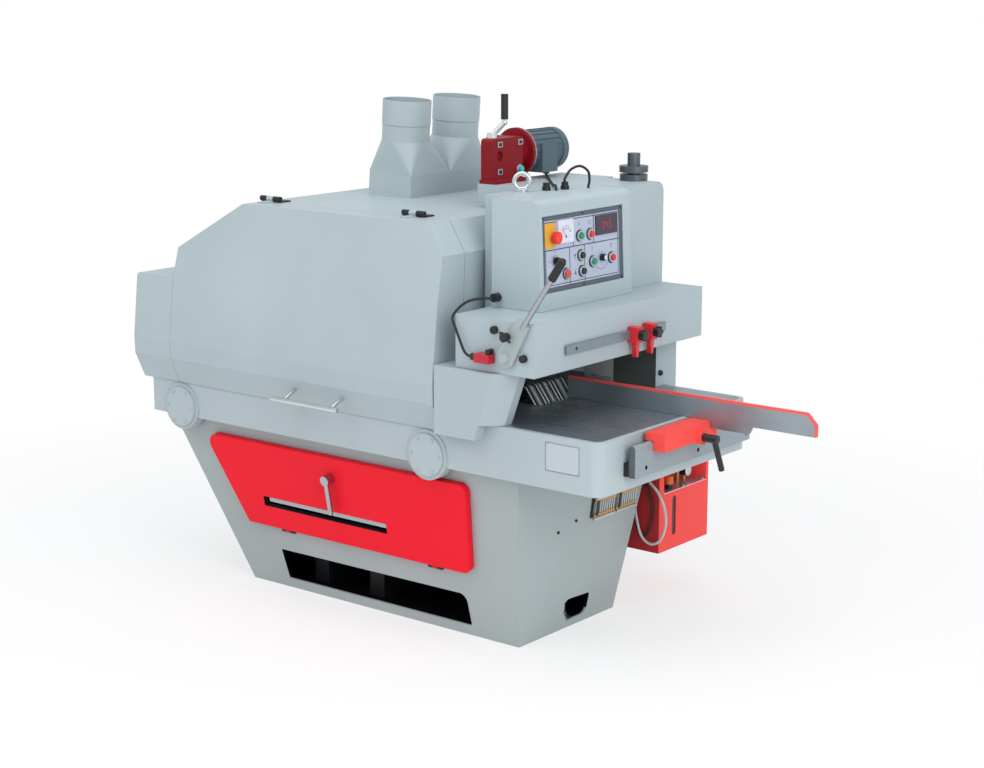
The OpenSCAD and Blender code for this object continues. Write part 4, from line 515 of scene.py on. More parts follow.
class Shop:
    """Modelling steps on new pieces, as done by hand."""

    @staticmethod
    def clear() -> None:
        """Deselects everything."""
        bpy.ops.object.select_all(action="DESELECT")

    @staticmethod
    def named(name: str) -> Piece:
        """Names the piece that an operator has just added.

        Args:
            name: Its name.

        Returns:
            The piece.
        """
        piece = bpy.context.active_object
        piece.name = piece.data.name = name
        return piece

    @staticmethod
    def placed(name: str, data: bpy.types.ID) -> Piece:
        """Puts new data in the scene as an object.

        Args:
            name: Name of the new object.
            data: Its mesh, curve, camera or lamp.

        Returns:
            The object.
        """
        piece = bpy.data.objects.new(name, data)
        bpy.context.scene.collection.objects.link(piece)
        return piece

    @staticmethod
    @contextmanager
    def editing(piece: Piece) -> Iterator[None]:
        """Edit mode on one piece.

        Args:
            piece: The piece, which is then the only one selected.

        Yields:
            Nothing, while edit mode lasts.
        """
        Shop.clear()
        piece.select_set(True)
        bpy.context.view_layer.objects.active = piece
        bpy.ops.object.mode_set(mode="EDIT")
        yield
        bpy.ops.object.mode_set(mode="OBJECT")

    @staticmethod
    def every() -> None:
        """Selects all of the piece in edit mode."""
        bpy.ops.mesh.select_all(action="SELECT")

    @staticmethod
    def rise(height: float) -> None:
        """Extrudes the selected faces along Z."""
        bpy.ops.mesh.extrude_region_move(TRANSFORM_OT_translate={"value": (0, 0, height)})

    @staticmethod
    def outwards() -> None:
        """Turns every face of the piece in edit mode outwards."""
        Shop.every()
        bpy.ops.mesh.normals_make_consistent(inside=False)

    @staticmethod
    def block(name: str, low: Sequence[float], high: Sequence[float], bevel: float = 0.0) -> Piece:
        """Adds a box between two corners, with bevelled edges.

        Args:
            name: Name of the piece.
            low: Lowest corner in metres.
            high: Highest corner in metres.
            bevel: Width of the bevel.

        Returns:
            The piece, with its place in its mesh.
        """
        Shop.clear()
        bpy.ops.mesh.primitive_cube_add(size=1, location=[(a + b) / 2 for a, b in zip(low, high)])
        piece = Shop.named(name)
        piece.scale = [b - a for a, b in zip(low, high)]
        bpy.ops.object.transform_apply(location=True, rotation=True, scale=True)
        if bevel:
            with Shop.editing(piece):
                Shop.every()
                bpy.ops.mesh.bevel(offset=bevel, segments=2, affect="EDGES")
        return piece

    @staticmethod
    def disc(name: str, sides: int, radius: float) -> Piece:
        """Adds a filled disc on the origin, the start of a round piece.

        Args:
            name: Name of the piece.
            sides: Number of sides.
            radius: Its radius.

        Returns:
            The disc.
        """
        Shop.clear()
        bpy.ops.mesh.primitive_circle_add(vertices=sides, radius=radius, fill_type="NGON")
        return Shop.named(name)

    @staticmethod
    def turned(name: str, sides: int, radius: float, steps: Sequence[Pair]) -> Piece:
        """Turns a piece upwards from a disc: each step rises and then scales the top face.

        Args:
            name: Name of the piece.
            sides: Number of sides.
            radius: Radius of the foot.
            steps: For each step, how far it rises and the factor on its radius.

        Returns:
            The piece, with its foot on the origin and its axis along Z.
        """
        piece = Shop.disc(name, sides, radius)
        with Shop.editing(piece):
            Shop.every()
            for height, factor in steps:
                Shop.rise(height)
                bpy.ops.transform.resize(value=(factor, factor, 1), center_override=(0, 0, 0))
            Shop.outwards()
        return piece

    @staticmethod
    def bolt(name: str, radius: float) -> Piece:
        """Makes a socket-head bolt that stands on the origin along Z.

        Args:
            name: Name of the piece.
            radius: Radius of its head, which sets its other sizes.

        Returns:
            The bolt.
        """
        head, chamfer, wall, socket = (radius * share for share in (0.8, 0.12, 0.38, 0.5))
        piece = Shop.turned(name, 24, radius, ((head, 1.0), (chamfer, 0.88)))
        Shop.pick(piece, lambda centre, normal: normal.z > FACING and centre.z > socket)
        with Shop.editing(piece):
            bpy.ops.mesh.inset(thickness=wall)
            Shop.rise(-socket)
        return piece

    @staticmethod
    def hoop(name: str, sides: int, radius: float, width: float, depth: float) -> Piece:
        """Makes a flat ring that stands on the origin, drawn in from a disc.

        Args:
            name: Name of the piece.
            sides: Number of sides.
            radius: Outer radius.
            width: Width of the ring.
            depth: Its height along Z.

        Returns:
            The ring.
        """
        piece = Shop.disc(name, sides, radius)
        with Shop.editing(piece):
            Shop.every()
            bpy.ops.mesh.inset(thickness=width)
            bpy.ops.mesh.delete(type="FACE")
            Shop.every()
            Shop.rise(depth)
            Shop.outwards()
        return piece

    @staticmethod
    def pick(piece: Piece, test: Callable[[Vector, Vector], bool]) -> None:
        """Selects only the faces whose middle and normal pass a test.

        Args:
            piece: The piece.
            test: Takes a face's middle and normal.
        """
        with Shop.editing(piece):
            bpy.ops.mesh.select_all(action="DESELECT")
        for face in piece.data.polygons:
            face.select = test(face.center, face.normal)

    @staticmethod
    def copies(pattern: Piece, places: Sequence[Matrix], name: str) -> Piece:
        """Copies a pattern to places and joins the copies to one piece.

        Args:
            pattern: Piece at the origin, used up.
            places: One matrix for each copy.
            name: Name of the joined piece.

        Returns:
            The joined piece.
        """
        made = []
        for place in places:
            made.append(Shop.placed(pattern.name, pattern.data.copy()))
            made[-1].data.transform(place)
        bpy.data.objects.remove(pattern)
        return Shop.join(made, name)

    @staticmethod
    def join(made: Sequence[Piece], name: str) -> Piece:
        """Joins pieces to one of that name.

        Args:
            made: The pieces, used up.
            name: Name of the joined piece.

        Returns:
            The joined piece.
        """
        Shop.clear()
        for piece in made:
            piece.select_set(True)
        bpy.context.view_layer.objects.active = made[0]
        if len(made) > 1:
            bpy.ops.object.join()
        return Shop.named(name)


@dataclass
class Cables:
    """Three cables and two oil lines, each a smooth tube through the points of its route in millimetres."""

    stock: Stock
    cable_radius: float = 0.0045
    hose_radius: float = 0.005
    steps: int = 12
    roundness: int = 5
    table: Point = (0, 0, 820.0)
    head: Point = (0, 0, 1545.0)
    tank: Point = (0, 404.0, DECK_MM)
    switch_route: Points = (
        (607.5, -492, 231), (594, -492, 232), (576, -492, 244), (556, -492, 282), (537, -490, 318),
        (519, -483, 348), (510, -442, 372), (516, -396, 391), (540, -354, 397), (558, -330, 395),
        (558, -317.5, 395))
    lead_route: Points = (
        (272, 350, 10), (272, 349, 7), (290, 330, 5.5), (350, 262, 5.5), (430, 170, 5.5), (505, 84, 7),
        (548, 36, 15), (566, 16, 13), (570, 12, 6), (570, 12, 0.8))
    loop_route: Points = (
        (570, 62, 26.8), (570, 62.5, 38), (579, 84, 67), (595, 116, 77), (608, 144, 58), (610, 150, 26),
        (608, 147, 8), (608, 147, 0.8))
    hose_route: Points = (
        (710, -0.6, 55), (710, -4, 55), (710, -8, 55), (722, -16, 48), (758, -20, 20), (788, -20, -30),
        (797, -20, -95), (776, -20, -158), (734, -20, -182), (692, -20, -158), (668, -20, -88),
        (660, -18, -26), (662, -14, 14), (664, -8, 25), (664, -4, 25), (664, -0.6, 25))
    feed_route: Points = (
        (668, -0.6, 91), (668, -4, 91), (668, -7, 91), (678, -9.4, 76), (702, -10, 34), (724, -10, -16),
        (730, -10, -66), (718, -10, -126), (692, -10, -164), (666, -10, -136), (650, -10, -76),
        (646, -9, -22), (646, -7, -4), (646, -4, -4), (646, -0.6, -4))

    def smooth(self, route: Sequence[Point], start: Point) -> list[Vector]:
        """Points in metres on the smooth curve through a route in millimetres from a start.

        Args:
            route: Points of the route.
            start: Place that they are measured from.

        Returns:
            The points, a number of steps to each stretch of the route.
        """
        p = [(Vector(point) + Vector(start)) / 1000 for point in route]
        p = [p[0], *p, p[-1]]
        line = []
        for i in range(1, len(p) - 2):
            a, b, c, d = p[i - 1:i + 3]
            for k in range(self.steps):
                t = k / self.steps
                line.append(0.5 * (2 * b + (c - a) * t + (2 * a - 5 * b + 4 * c - d) * t * t
                                   + (3 * b - a - 3 * c + d) * t ** 3))
        return [*line, p[-2]]

    def tube(self, name: str, route: Sequence[Point], start: Point, radius: float, nodes: Sequence[str],
             finish: str, slot: str, lay: str) -> None:
        """Args:
            name: Name of the piece.
            route: Points of the part's source in millimetres.
            start: Place that the route is measured from, in millimetres.
            radius: Radius of the cable in metres.
            nodes: CAD nodes that it stands for.
            finish: Name of its finish.
            slot: Not used; passed on to dress, which does not read it.
            lay: How it lies; not used.
        """
        line = self.smooth(route, start)
        curve = bpy.data.curves.new(name, "CURVE")
        curve.dimensions = "3D"
        spline = curve.splines.new("POLY")
        spline.points.add(len(line) - 1)
        for point, place in zip(spline.points, line):
            point.co = (*place, 1.0)
        curve.bevel_depth = radius
        curve.bevel_resolution = self.roundness
        curve.use_fill_caps = True
        piece = self.stock.dress(Shop.placed(name, curve), finish, slot)
        if nodes:
            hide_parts(*nodes)

    def build(self) -> None:
        """Makes every cable and both oil lines."""
        thin, wide = self.cable_radius, self.hose_radius
        for row in (
                ("limit_switch_cable", self.switch_route, self.table, thin, ["switch_cable"], "rubber",
                 "rubber", "hanging"),
                ("height_motor_lead", self.lead_route, self.head, thin, ["motor_leads"], "rubber",
                 "rubber", "loose"),
                ("control_box_lead", self.loop_route, self.head, thin, [], "rubber", "rubber", "loose"),
                ("oil_return_hose", self.hose_route, self.tank, wide, ["oil_hose"], "hose_clear", "hose",
                 "hanging"),
                ("oil_feed_line", self.feed_route, self.tank, thin, [], "rubber", "hose", "hanging")):
            self.tube(*row)


@dataclass
class PanelFace:
    """The control panel's own frame: shares across it and down it, and heights out of it."""

    corner: Point = (0.735, 0.0, 1.180)
    tilt: float = math.radians(2.5)
    across: Pair = (-0.267, 0.190)
    up: Pair = (0.058, 0.313)
    face: float = -0.007
    raised: float = 0.0002
    zones: tuple[tuple[str, Pair, Pair, float], ...] = (
        ("meter_white", (0.18, 0.075), (0.375, 0.385), ANYWHERE),
        ("display_dark", (0.66, 0.095), (0.94, 0.365), ANYWHERE),
        ("panel_yellow", (0.04, 0.095), (0.17, 0.43), 0.0022))
    lamp: Pair = (0.29, 0.79)
    lamp_radius: float = 0.015
    screws: Pairs = tuple((x, y) for x in (0.02, 0.5, 0.98) for y in (0.03, 0.97))
    screw_radius: float = 0.0045
    screw_rise: float = 0.0012
    collar_rise: float = 0.0032
    border: float = 0.0165
    ink_rise: float = 0.0008
    finishes: tuple[str, ...] = ("panel_lavender", "panel_slate", "panel_yellow", "meter_white",
                                 "display_dark", "lamp_red", "zinc", "hinge_black", "ink_dark")

    @property
    def size(self) -> Pair:
        """Width and height of the panel in metres."""
        return self.across[1] - self.across[0], self.up[1] - self.up[0]

    @property
    def lean(self) -> Matrix:
        """Matrix of the panel's own frame."""
        return Matrix.Translation(self.corner) @ Matrix.Rotation(-self.tilt, 4, "Y")

    def matrix(self, share_x: float, share_y: float, out: float = 0.0) -> Matrix:
        """Matrix that stands a piece on the panel, its Z pointing out of the panel and its Y up.

        Args:
            share_x: Share of the width, from the left edge.
            share_y: Share of the height, from the top edge.
            out: Height above the panel's face in metres.

        Returns:
            The matrix.
        """
        wide, high = self.size
        turn = Matrix(((0, 0, 1, 0), (1, 0, 0, 0), (0, 1, 0, 0), (0, 0, 0, 1)))
        place = (self.face + out, self.across[0] + wide * share_x, self.up[1] - high * share_y)
        return self.lean @ Matrix.Translation(place) @ turn

    def shares(self, point: Vector) -> Point:
        """Shares across and down the panel, and height out of it, of a point.

        Args:
            point: The point.

        Returns:
            Both shares, and the height in metres.
        """
        local = self.lean.inverted() @ point
        wide, high = self.size
        return (local.y - self.across[0]) / wide, (self.up[1] - local.z) / high, local.x - self.face

    def gap(self, first: Sequence[float], second: Sequence[float]) -> float:
        """Distance in metres between two places given as shares."""
        return math.hypot((first[0] - second[0]) * self.size[0], (first[1] - second[1]) * self.size[1])

    def finish_at(self, centre: Vector, normal: Vector) -> str:
        """Finish of a face of the panel node.

        Args:
            centre: Middle of the face.
            normal: Its normal.

        Returns:
            Name of the finish.
        """
        spot = self.shares(centre)
        x, y, out = spot
        for name, low, high, most in self.zones:
            if inside(spot, (*low, self.raised), (*high, most)):
                return name
        if out > self.raised and self.gap(spot, self.lamp) < self.lamp_radius:
            return "lamp_red"
        if out > self.screw_rise and min(self.gap(spot, screw) for screw in self.screws) < self.screw_radius:
            return "hinge_black"
        if out > self.collar_rise:
            return "zinc"
        edge = min(min(x, 1 - x) * self.size[0], min(y, 1 - y) * self.size[1])
        if out > self.raised and edge < self.border:
            return "panel_slate"
        return "ink_dark" if self.raised < out < self.ink_rise else "panel_lavender"


@dataclass
class TankDeck:
    """Finishes of the oil tank, of its deck and of the fittings on it."""

    tray: Box = ((0.603, 0.43, DECK - 0.001), (0.7545, 0.72, ANYWHERE))
    sight: Box = ((0.744, 0.475, 0.23), (0.7505, 0.53, 0.41))
    flat: float = 0.0005
    filler: Pair = (0.722, 0.512)
    gauge: Pair = (0.692, 0.660)
    union: Pair = (0.690, 0.618)
    reach: float = 0.0205
    gauge_half: float = 0.021
    gauge_foot: float = 0.0155
    union_radius: float = 0.009
    neck: float = 0.018
    near_wall: float = 0.405
    finishes: tuple[str, ...] = ("coral_red", "zinc", "orange_plastic", "black_plastic", "meter_white",
                                 "brass", "sight_dark", "tank_shade")

    def finish_at(self, centre: Vector, normal: Vector) -> str:
        """Finish of a face of the tank node.

        Args:
            centre: Middle of the face.
            normal: Its normal.

        Returns:
            Name of the finish.
        """
        x, y, z = centre
        rise = z - DECK
        if inside(centre, *self.tray):
            if rise < self.flat:
                return "zinc" if normal.z > FACING else "coral_red"
            if math.dist((x, y), self.filler) < self.reach:
                return "black_plastic" if rise < self.neck else "orange_plastic"
            if (abs(x - self.gauge[0]) < self.gauge_half and abs(y - self.gauge[1]) < self.reach
                    and rise > self.gauge_foot):
                return "meter_white" if normal.x > FACING else "black_plastic"
            if min(math.dist((x, y), place) for place in (self.gauge, self.union)) < self.union_radius:
                return "brass"
        if inside(centre, *self.sight):
            return "sight_dark"
        # The near wall facing -Y gets the painted shade; the rest is coral red.
        return "tank_shade" if normal.y < -FACING and y < self.near_wall else "coral_red"


class Axis(Enum):
    """Axis along which a node changes its finish."""

    X = 0
    Y = 1
    Z = 2


@dataclass
class CadFinishes:
    """Finishes of the CAD nodes, whole or by the place of each face."""

    nodes: dict[str, Piece]
    stock: Stock
    panel: PanelFace
    whole: dict[str, str] = field(default_factory=lambda: {
        "hinge_black": "door_hinges", "zinc": "levelling_screws", "table_steel": "table_plate",
        "cast_grey": "bed_casting bearing_covers", "chain_steel": "feed_chain", "blade_steel": "saw_blades",
        "shaft_steel": "front_chain_shaft rear_chain_shaft saw_arbor motor_pulley front_pressure_roller "
                       "rear_pressure_roller",
        "hood_grey": "hood_door side_covers dust_duct", "head_grey": "infeed_beam control_box",
        "bright_steel": "hood_handle", "rod_steel": "base_door_latch", "estop_red": "e_stop",
        "green_plastic": "start_button feed_start_button", "red_plastic": "stop_button feed_stop_button",
        "black_plastic": "up_button down_button selector_switch index_plunger cable_glands clamp_lever",
        "grip_black": "lever_grip", "comb_steel": "upper_fingers", "bar_grey": "pointer_bar",
        "rubber": "stop_buffers switch_cable motor_leads drive_belts", "hose_clear": "oil_hose",
        # The main motor takes the painted shade of the base's dark inside.
        "fence_steel": "fence_plate", "coral_red": "fence_clamp", "motor_dark": "main_motor",
        "gear_red": "gearbox", "motor_blue": "gear_motor", "frame_grey": "pressure_frame"})
    split: tuple[tuple[str, str, str, Axis, float], ...] = (
        ("head_fittings", "bright_steel", "cap_grey", Axis.Y, 0.2),
        ("lift_crank", "bright_steel", "grip_black", Axis.Z, 1.772),
        ("limit_switch", "switch_red", "black_plastic", Axis.Z, 1.0665),
        ("left_pointer", "pointer_red", "black_plastic", Axis.X, 0.8925),
        ("right_pointer", "pointer_red", "black_plastic", Axis.X, 0.8925))
    base_floor: Pair = (0.004, 0.012)
    base_inward: float = -0.02
    door_slot: Box = ((-0.492, -ANYWHERE, 0.330), (0.125, ANYWHERE, 0.378))
    slot_front: float = -0.6
    rail_back: float = 1.1115
    rail_holes: Pair = (0.704, 0.722)
    rail_end: float = 0.999
    lever_pivot: Pair = (0.741, 1.061)
    lever_lean: float = math.radians(34.2)
    lever_rod: float = 0.15
    hood_end: Pair = (0.43, 0.3)
    head_cheek: Box = ((0.55, 0.37, 0.0), (ANYWHERE, 0.39, ANYWHERE))
    finger_start: float = -0.1128
    finger_pitch: float = 0.0094
    # Stripes across the fingers: pale is painted light, black is painted shade between them, steel is plain.
    finger_row: tuple[str, ...] = ("finger_pale", "hinge_black", "finger_steel", "finger_pale",
                                   "finger_steel", "hinge_black", "finger_pale", "hinge_black")
    knob_face: float = 0.0185

    def coat(self, node: str, names: Sequence[str]) -> bpy.types.Mesh:
        """Gives a node its finishes, with the first on every face.

        Args:
            node: The CAD node.
            names: Its finishes.

        Returns:
            The node's mesh.
        """
        mesh = self.nodes[node].data
        mesh.materials.clear()
        for name in names:
            mesh.materials.append(self.stock[name])
        LOG.info("%s has %s", node, ", ".join(names))
        return mesh

    def by_face(self, node: str, names: Sequence[str], choose: Callable[[Vector, Vector], str]) -> None:
        """Gives each face of a node the finish that is chosen from its middle and normal."""
        for face in self.coat(node, names).polygons:
            face.material_index = names.index(choose(face.center, face.normal))

    def either(self, node: str, first: str, second: str, test: Callable[[Vector, Vector], bool]) -> None:
        """Gives a node one finish, and a second one on the faces that pass a test."""
        self.by_face(node, (first, second), lambda c, n: second if test(c, n) else first)

    def in_base(self, centre: Vector, normal: Vector) -> bool:
        """Tells whether a face looks into the base's hollow."""
        wall = centre.xy.dot(normal.xy) < self.base_inward and abs(normal.z) < ASIDE
        return wall or (normal.z > FACING and self.base_floor[0] < centre.z < self.base_floor[1])

    def rail_finish(self, centre: Vector, normal: Vector) -> str:
        """Black on the rail's spacers, black in its holes as painted shade, and a rough finish on its sawn
        ends.

        Args:
            centre: Middle of a face of the rail.
            normal: Its normal.

        Returns:
            Name of the finish.
        """
        in_hole = (self.rail_holes[0] < centre.z < self.rail_holes[1] and abs(normal.x) < ASIDE
                   and abs(normal.y) < self.rail_end)
        # Black in the holes is painted shade.
        if centre.x < self.rail_back or in_hole:
            return "hinge_black"
        return "rail_end" if abs(normal.y) > FACING else "rail_grey"

    def along_lever(self, centre: Vector) -> float:
        """Distance of a point up the lift lever from its pivot, in metres."""
        x, z = self.lever_pivot
        return (centre.x - x) * math.sin(self.lever_lean) + (centre.z - z) * math.cos(self.lever_lean)

    def finger_finish(self, centre: Vector, normal: Vector) -> str:
        """Finish of the finger that a face belongs to, in a row of stripes: painted light, plain steel and
        painted shade.
        """
        return self.finger_row[math.floor((centre.y - self.finger_start) / self.finger_pitch)
                               % len(self.finger_row)]

    def build(self) -> None:
        """Dresses every node."""
        for name, nodes in self.whole.items():
            for node in nodes.split():
                self.coat(node, (name,))
        for node, first, second, axis, limit in self.split:
            self.either(node, first, second, lambda c, n: c[axis.value] > limit)
        self.either("lift_lever", "lever_grey", "rod_steel",
                    lambda c, n: self.along_lever(c) > self.lever_rod)
        # Painted shade: near black on the faces that look into the base's hollow.
        self.either("base_frame", "base_grey", "inner_dark", self.in_base)
        # Painted shade: black on the walls of the door's slot.
        self.either("base_door", "door_red", "hinge_black",
                    lambda c, n: inside(c, *self.door_slot) and n.y > self.slot_front)
        # Painted shade on the hood's end wall, seen through the throat.
        self.either("hood_shell", "hood_grey", "throat_shade",
                    lambda c, n: n.x > FACING and c.x > self.hood_end[0] and c.y > self.hood_end[1])
        # Painted shade on the head's cheek beside the throat.
        self.either("head_casting", "head_grey", "throat_shade",
                    lambda c, n: n.y < -FACING and inside(c, *self.head_cheek))
        self.either("speed_knob", "black_plastic", "meter_white",
                    lambda c, n: self.panel.shares(c)[2] > self.knob_face)
        self.by_face("fence_rail", ("rail_grey", "rail_end", "hinge_black"), self.rail_finish)
        self.by_face("lower_fingers", ("finger_pale", "finger_steel", "hinge_black"), self.finger_finish)
        self.by_face("control_panel", self.panel.finishes, self.panel.finish_at)
        self.by_face("oil_tank", TankDeck.finishes, TankDeck().finish_at)


@dataclass
class PanelMarks:
    """Rings round the buttons, and generic symbols, borders, meter scale and digits on the control panel."""

    face: PanelFace
    stock: Stock
    thick: float = 0.0003
    ink: float = 0.0001
    meter: Pair = (0.2775, 0.30)
    meter_out: float = 0.0092
    meter_half: float = 52.0
    tick_radius: float = 0.036
    tick: Pair = (0.0009, 0.0035)
    long_tick: Pair = (0.0009, 0.006)
    hub: Pair = (0.004, 0.0035)
    numbers: tuple[str, ...] = ("0", "25", "50", "75", "100")
    number_height: float = 0.0075
    number_radius: float = 0.0275
    number_drop: float = 0.003
    hand: Pair = (0.0012, 0.034)
    hand_turn: float = 38.0
    start_marks: Pairs = ((0.465, 0.17), (0.62, 0.52))
    start_bar: Pair = (0.0022, 0.012)
    stop_marks: Pairs = ((0.595, 0.17), (0.86, 0.52))
    stop_ring: Pair = (0.0065, 0.0016)
    arrows: tuple[tuple[Pair, int], ...] = (((0.405, 0.585), 1), ((0.405, 0.795), -1))
    arrow_stem: Pair = (0.002, 0.016)
    arrow_barb: Pair = (0.002, 0.009)
    barb_lean: float = 40.0
    selector: Pair = (0.16, 0.6)
    selector_ring: Pair = (0.019, 0.0012)
    selector_marks: Pairs = ((0.16, 0.475), (0.085, 0.6), (0.235, 0.6))
    selector_bar: Pair = (0.006, 0.0018)
    dial: Pair = (0.735, 0.665)
    dial_tick: Pair = (0.0012, 0.004)
    dial_radius: float = 0.0185
    dial_half: float = 135.0
    arc_dash: Pair = (0.0045, 0.0011)
    arc_radius: float = 0.040
    arc_half: float = 62.0
    display: Pair = (0.80, 0.23)
    display_out: float = 0.0051
    digit_pitch: float = 0.019
    digit_slant: float = 0.12
    digit_half: Pair = (0.005, 0.0055)
    stroke_half: Pair = (0.0042, 0.0011)
    stroke_rise: float = 0.0004
    stroke_bevel: float = 0.0003
    pale_border: Pair = (0.0175, 0.0022)
    dark_border: Pair = (0.0215, 0.0024)
    buttons: Pairs = ((0.465, 0.325), (0.595, 0.325), (0.475, 0.585), (0.485, 0.795),
                                 (0.62, 0.695), (0.86, 0.69), (0.29, 0.79))
    # The black rings are painted shade round the bezels; the steel rings are the bezels.
    ring_rows: tuple[tuple[str, str, Point], ...] = (
        ("button_shadow_rings", "black_plastic", (0.0200, 0.0024, 0.0030)),
        ("button_bezels", "bright_steel", (0.0177, 0.0030, 0.0072)))

    def bar(self, share: Pair, size: Pair, out: float, turn: float = 0.0, shift: Pair = (0.0, 0.0)) -> Piece:
        """Makes one thin printed bar on the panel.

        Args:
            share: Place of the symbol's middle as shares of the panel.
            size: Width and height in metres.
            out: Height above the panel's face.
            turn: Turn in degrees.
            shift: Offset of the bar in the symbol, before the turn.

        Returns:
            The bar.
        """
        (wide, high), (x, y) = size, shift
        piece = Shop.block("mark", (-wide / 2 + x, -high / 2 + y, 0),
                           (wide / 2 + x, high / 2 + y, self.thick))
        piece.data.transform(self.face.matrix(*share, out) @ Matrix.Rotation(math.radians(turn), 4, "Z"))
        return piece

    def ring(self, share: Pair, size: Point, out: float, sides: int = 32) -> Piece:
        """Makes a ring on the panel.

        Args:
            share: Its middle as shares of the panel.
            size: Its outer radius, width and height.
            out: Height of its foot above the panel's face.
            sides: Number of sides.

        Returns:
            The ring.
        """
        piece = Shop.hoop("ring", sides, *size)
        piece.data.transform(self.face.matrix(*share, out))
        return piece

    def border(self, inset: float, width: float) -> list[Piece]:
        """Makes the four bars of a printed border at a distance from the panel's edge.

        Args:
            inset: The distance.
            width: Width of the bars.

        Returns:
            The bars.
        """
        wide, high = (side - 2 * inset for side in self.face.size)
        rows = (((wide, width), (0, (high - width) / 2)),
                ((width, high - 2 * width), ((wide - width) / 2, 0)))
        return [self.bar((0.5, 0.5), size, 2 * self.ink, 0, (side * x, side * y))
                for size, (x, y) in rows for side in (-1, 1)]

    def number(self, text: str, shift: Pair) -> Piece:
        """Makes a plain number of the meter as a thin mesh.

        Args:
            text: The number.
            shift: Offset from the meter's middle.

        Returns:
            The number.
        """
        Shop.clear()
        bpy.ops.object.text_add()
        words = bpy.context.active_object.data
        words.body, words.align_x = text, "CENTER"
        words.size, words.extrude = self.number_height, self.thick / 2
        bpy.ops.object.convert(target="MESH")
        piece = bpy.context.active_object
        piece.data.transform(self.face.matrix(*self.meter, self.meter_out) @ Matrix.Translation((*shift, 0)))
        return piece

    def digits(self) -> list[Piece]:
        """Makes three seven-bar digits of the speed display.

        Returns:
            Their bars.
        """
        (side, half), (long, wide) = self.digit_half, self.stroke_half
        bars = {"top": (0, 2 * half, 0), "mid": (0, 0, 0), "low": (0, -2 * half, 0), "ul": (-side, half, 90),
                "ur": (side, half, 90), "ll": (-side, -half, 90), "lr": (side, -half, 90)}
        made = []
        for column, names in enumerate(("top ul ur ll lr low", "ul mid ur lr", "top ul mid lr low")):
            for name in names.split():
                x, y, turn = bars[name]
                piece = Shop.block("digit", (-long, -wide, 0), (long, wide, self.stroke_rise),
                                   self.stroke_bevel)
                place = ((column - 1) * self.digit_pitch + x + y * self.digit_slant, y, 0)
                piece.data.transform(self.face.matrix(*self.display, self.display_out)
                                     @ Matrix.Translation(place)
                                     @ Matrix.Rotation(math.radians(turn), 4, "Z"))
                made.append(piece)
        return made

    def meter_scale(self) -> list[Piece]:
        """Makes the ticks, numbers and hub of the meter.

        Returns:
            The marks.
        """
        made = [self.bar(self.meter, self.tick if i % 3 else self.long_tick, self.meter_out, turn,
                         (0, self.tick_radius)) for i, turn in enumerate(fan(self.meter_half, 13))]
        for text, turn in zip(self.numbers, fan(self.meter_half, len(self.numbers))):
            across, up = math.sin(math.radians(turn)), math.cos(math.radians(turn))
            made.append(self.number(text, (-self.number_radius * across,
                                           self.number_radius * up - self.number_drop)))
        return [*made, self.ring(self.meter, (*self.hub, self.thick), self.meter_out)]

    def symbols(self) -> list[Piece]:
        """Makes the dark symbols and scales beside the buttons, the selector and the knob.

        Returns:
            The marks.
        """
        made = [self.bar(share, self.start_bar, self.ink) for share in self.start_marks]
        for share, side in self.arrows:
            made.append(self.bar(share, self.arrow_stem, self.ink))
            shift = (0, self.arrow_barb[1] / 2 * side)
            made += [self.bar(share, self.arrow_barb, self.ink, lean * side, shift)
                     for lean in (self.barb_lean, -self.barb_lean)]
        made.append(self.ring(self.selector, (*self.selector_ring, self.thick), self.ink, 48))
        made += [self.bar(self.dial, self.dial_tick, self.ink, turn, (0, self.dial_radius))
                 for turn in fan(self.dial_half, 11)]
        made += [self.bar(share, self.selector_bar, self.ink) for share in self.selector_marks]
        made += [self.bar(self.dial, self.arc_dash, self.ink, turn, (0, -self.arc_radius))
                 for turn in fan(-self.arc_half, 25)]
        return made

    def build(self) -> None:
        """Makes and dresses all marks and rings."""
        dark = self.meter_scale() + self.symbols() + self.border(*self.dark_border)
        red = [self.bar(self.meter, self.hand, self.meter_out + self.thick, self.hand_turn,
                        (0, self.hand[1] / 2))]
        red += [self.ring(share, (*self.stop_ring, self.thick), self.ink) for share in self.stop_marks]
        pale = self.border(*self.pale_border)
        for name, finish, size in self.ring_rows:
            rings = [self.ring(share, size, self.ink) for share in self.buttons]
            self.stock.dress(Shop.join(rings, name), finish, finish)
        for made, name, finish, slot in (
                (pale, "panel_pale_border", "meter_white", "panel_face"),
                (dark, "panel_symbols", "ink_dark", "panel_face"),
                (red, "panel_red_symbols", "ink_red", "red_plastic"),
                (self.digits(), "speed_digits", "digit_red", "red_plastic")):
            self.stock.dress(Shop.join(made, name), finish, slot)


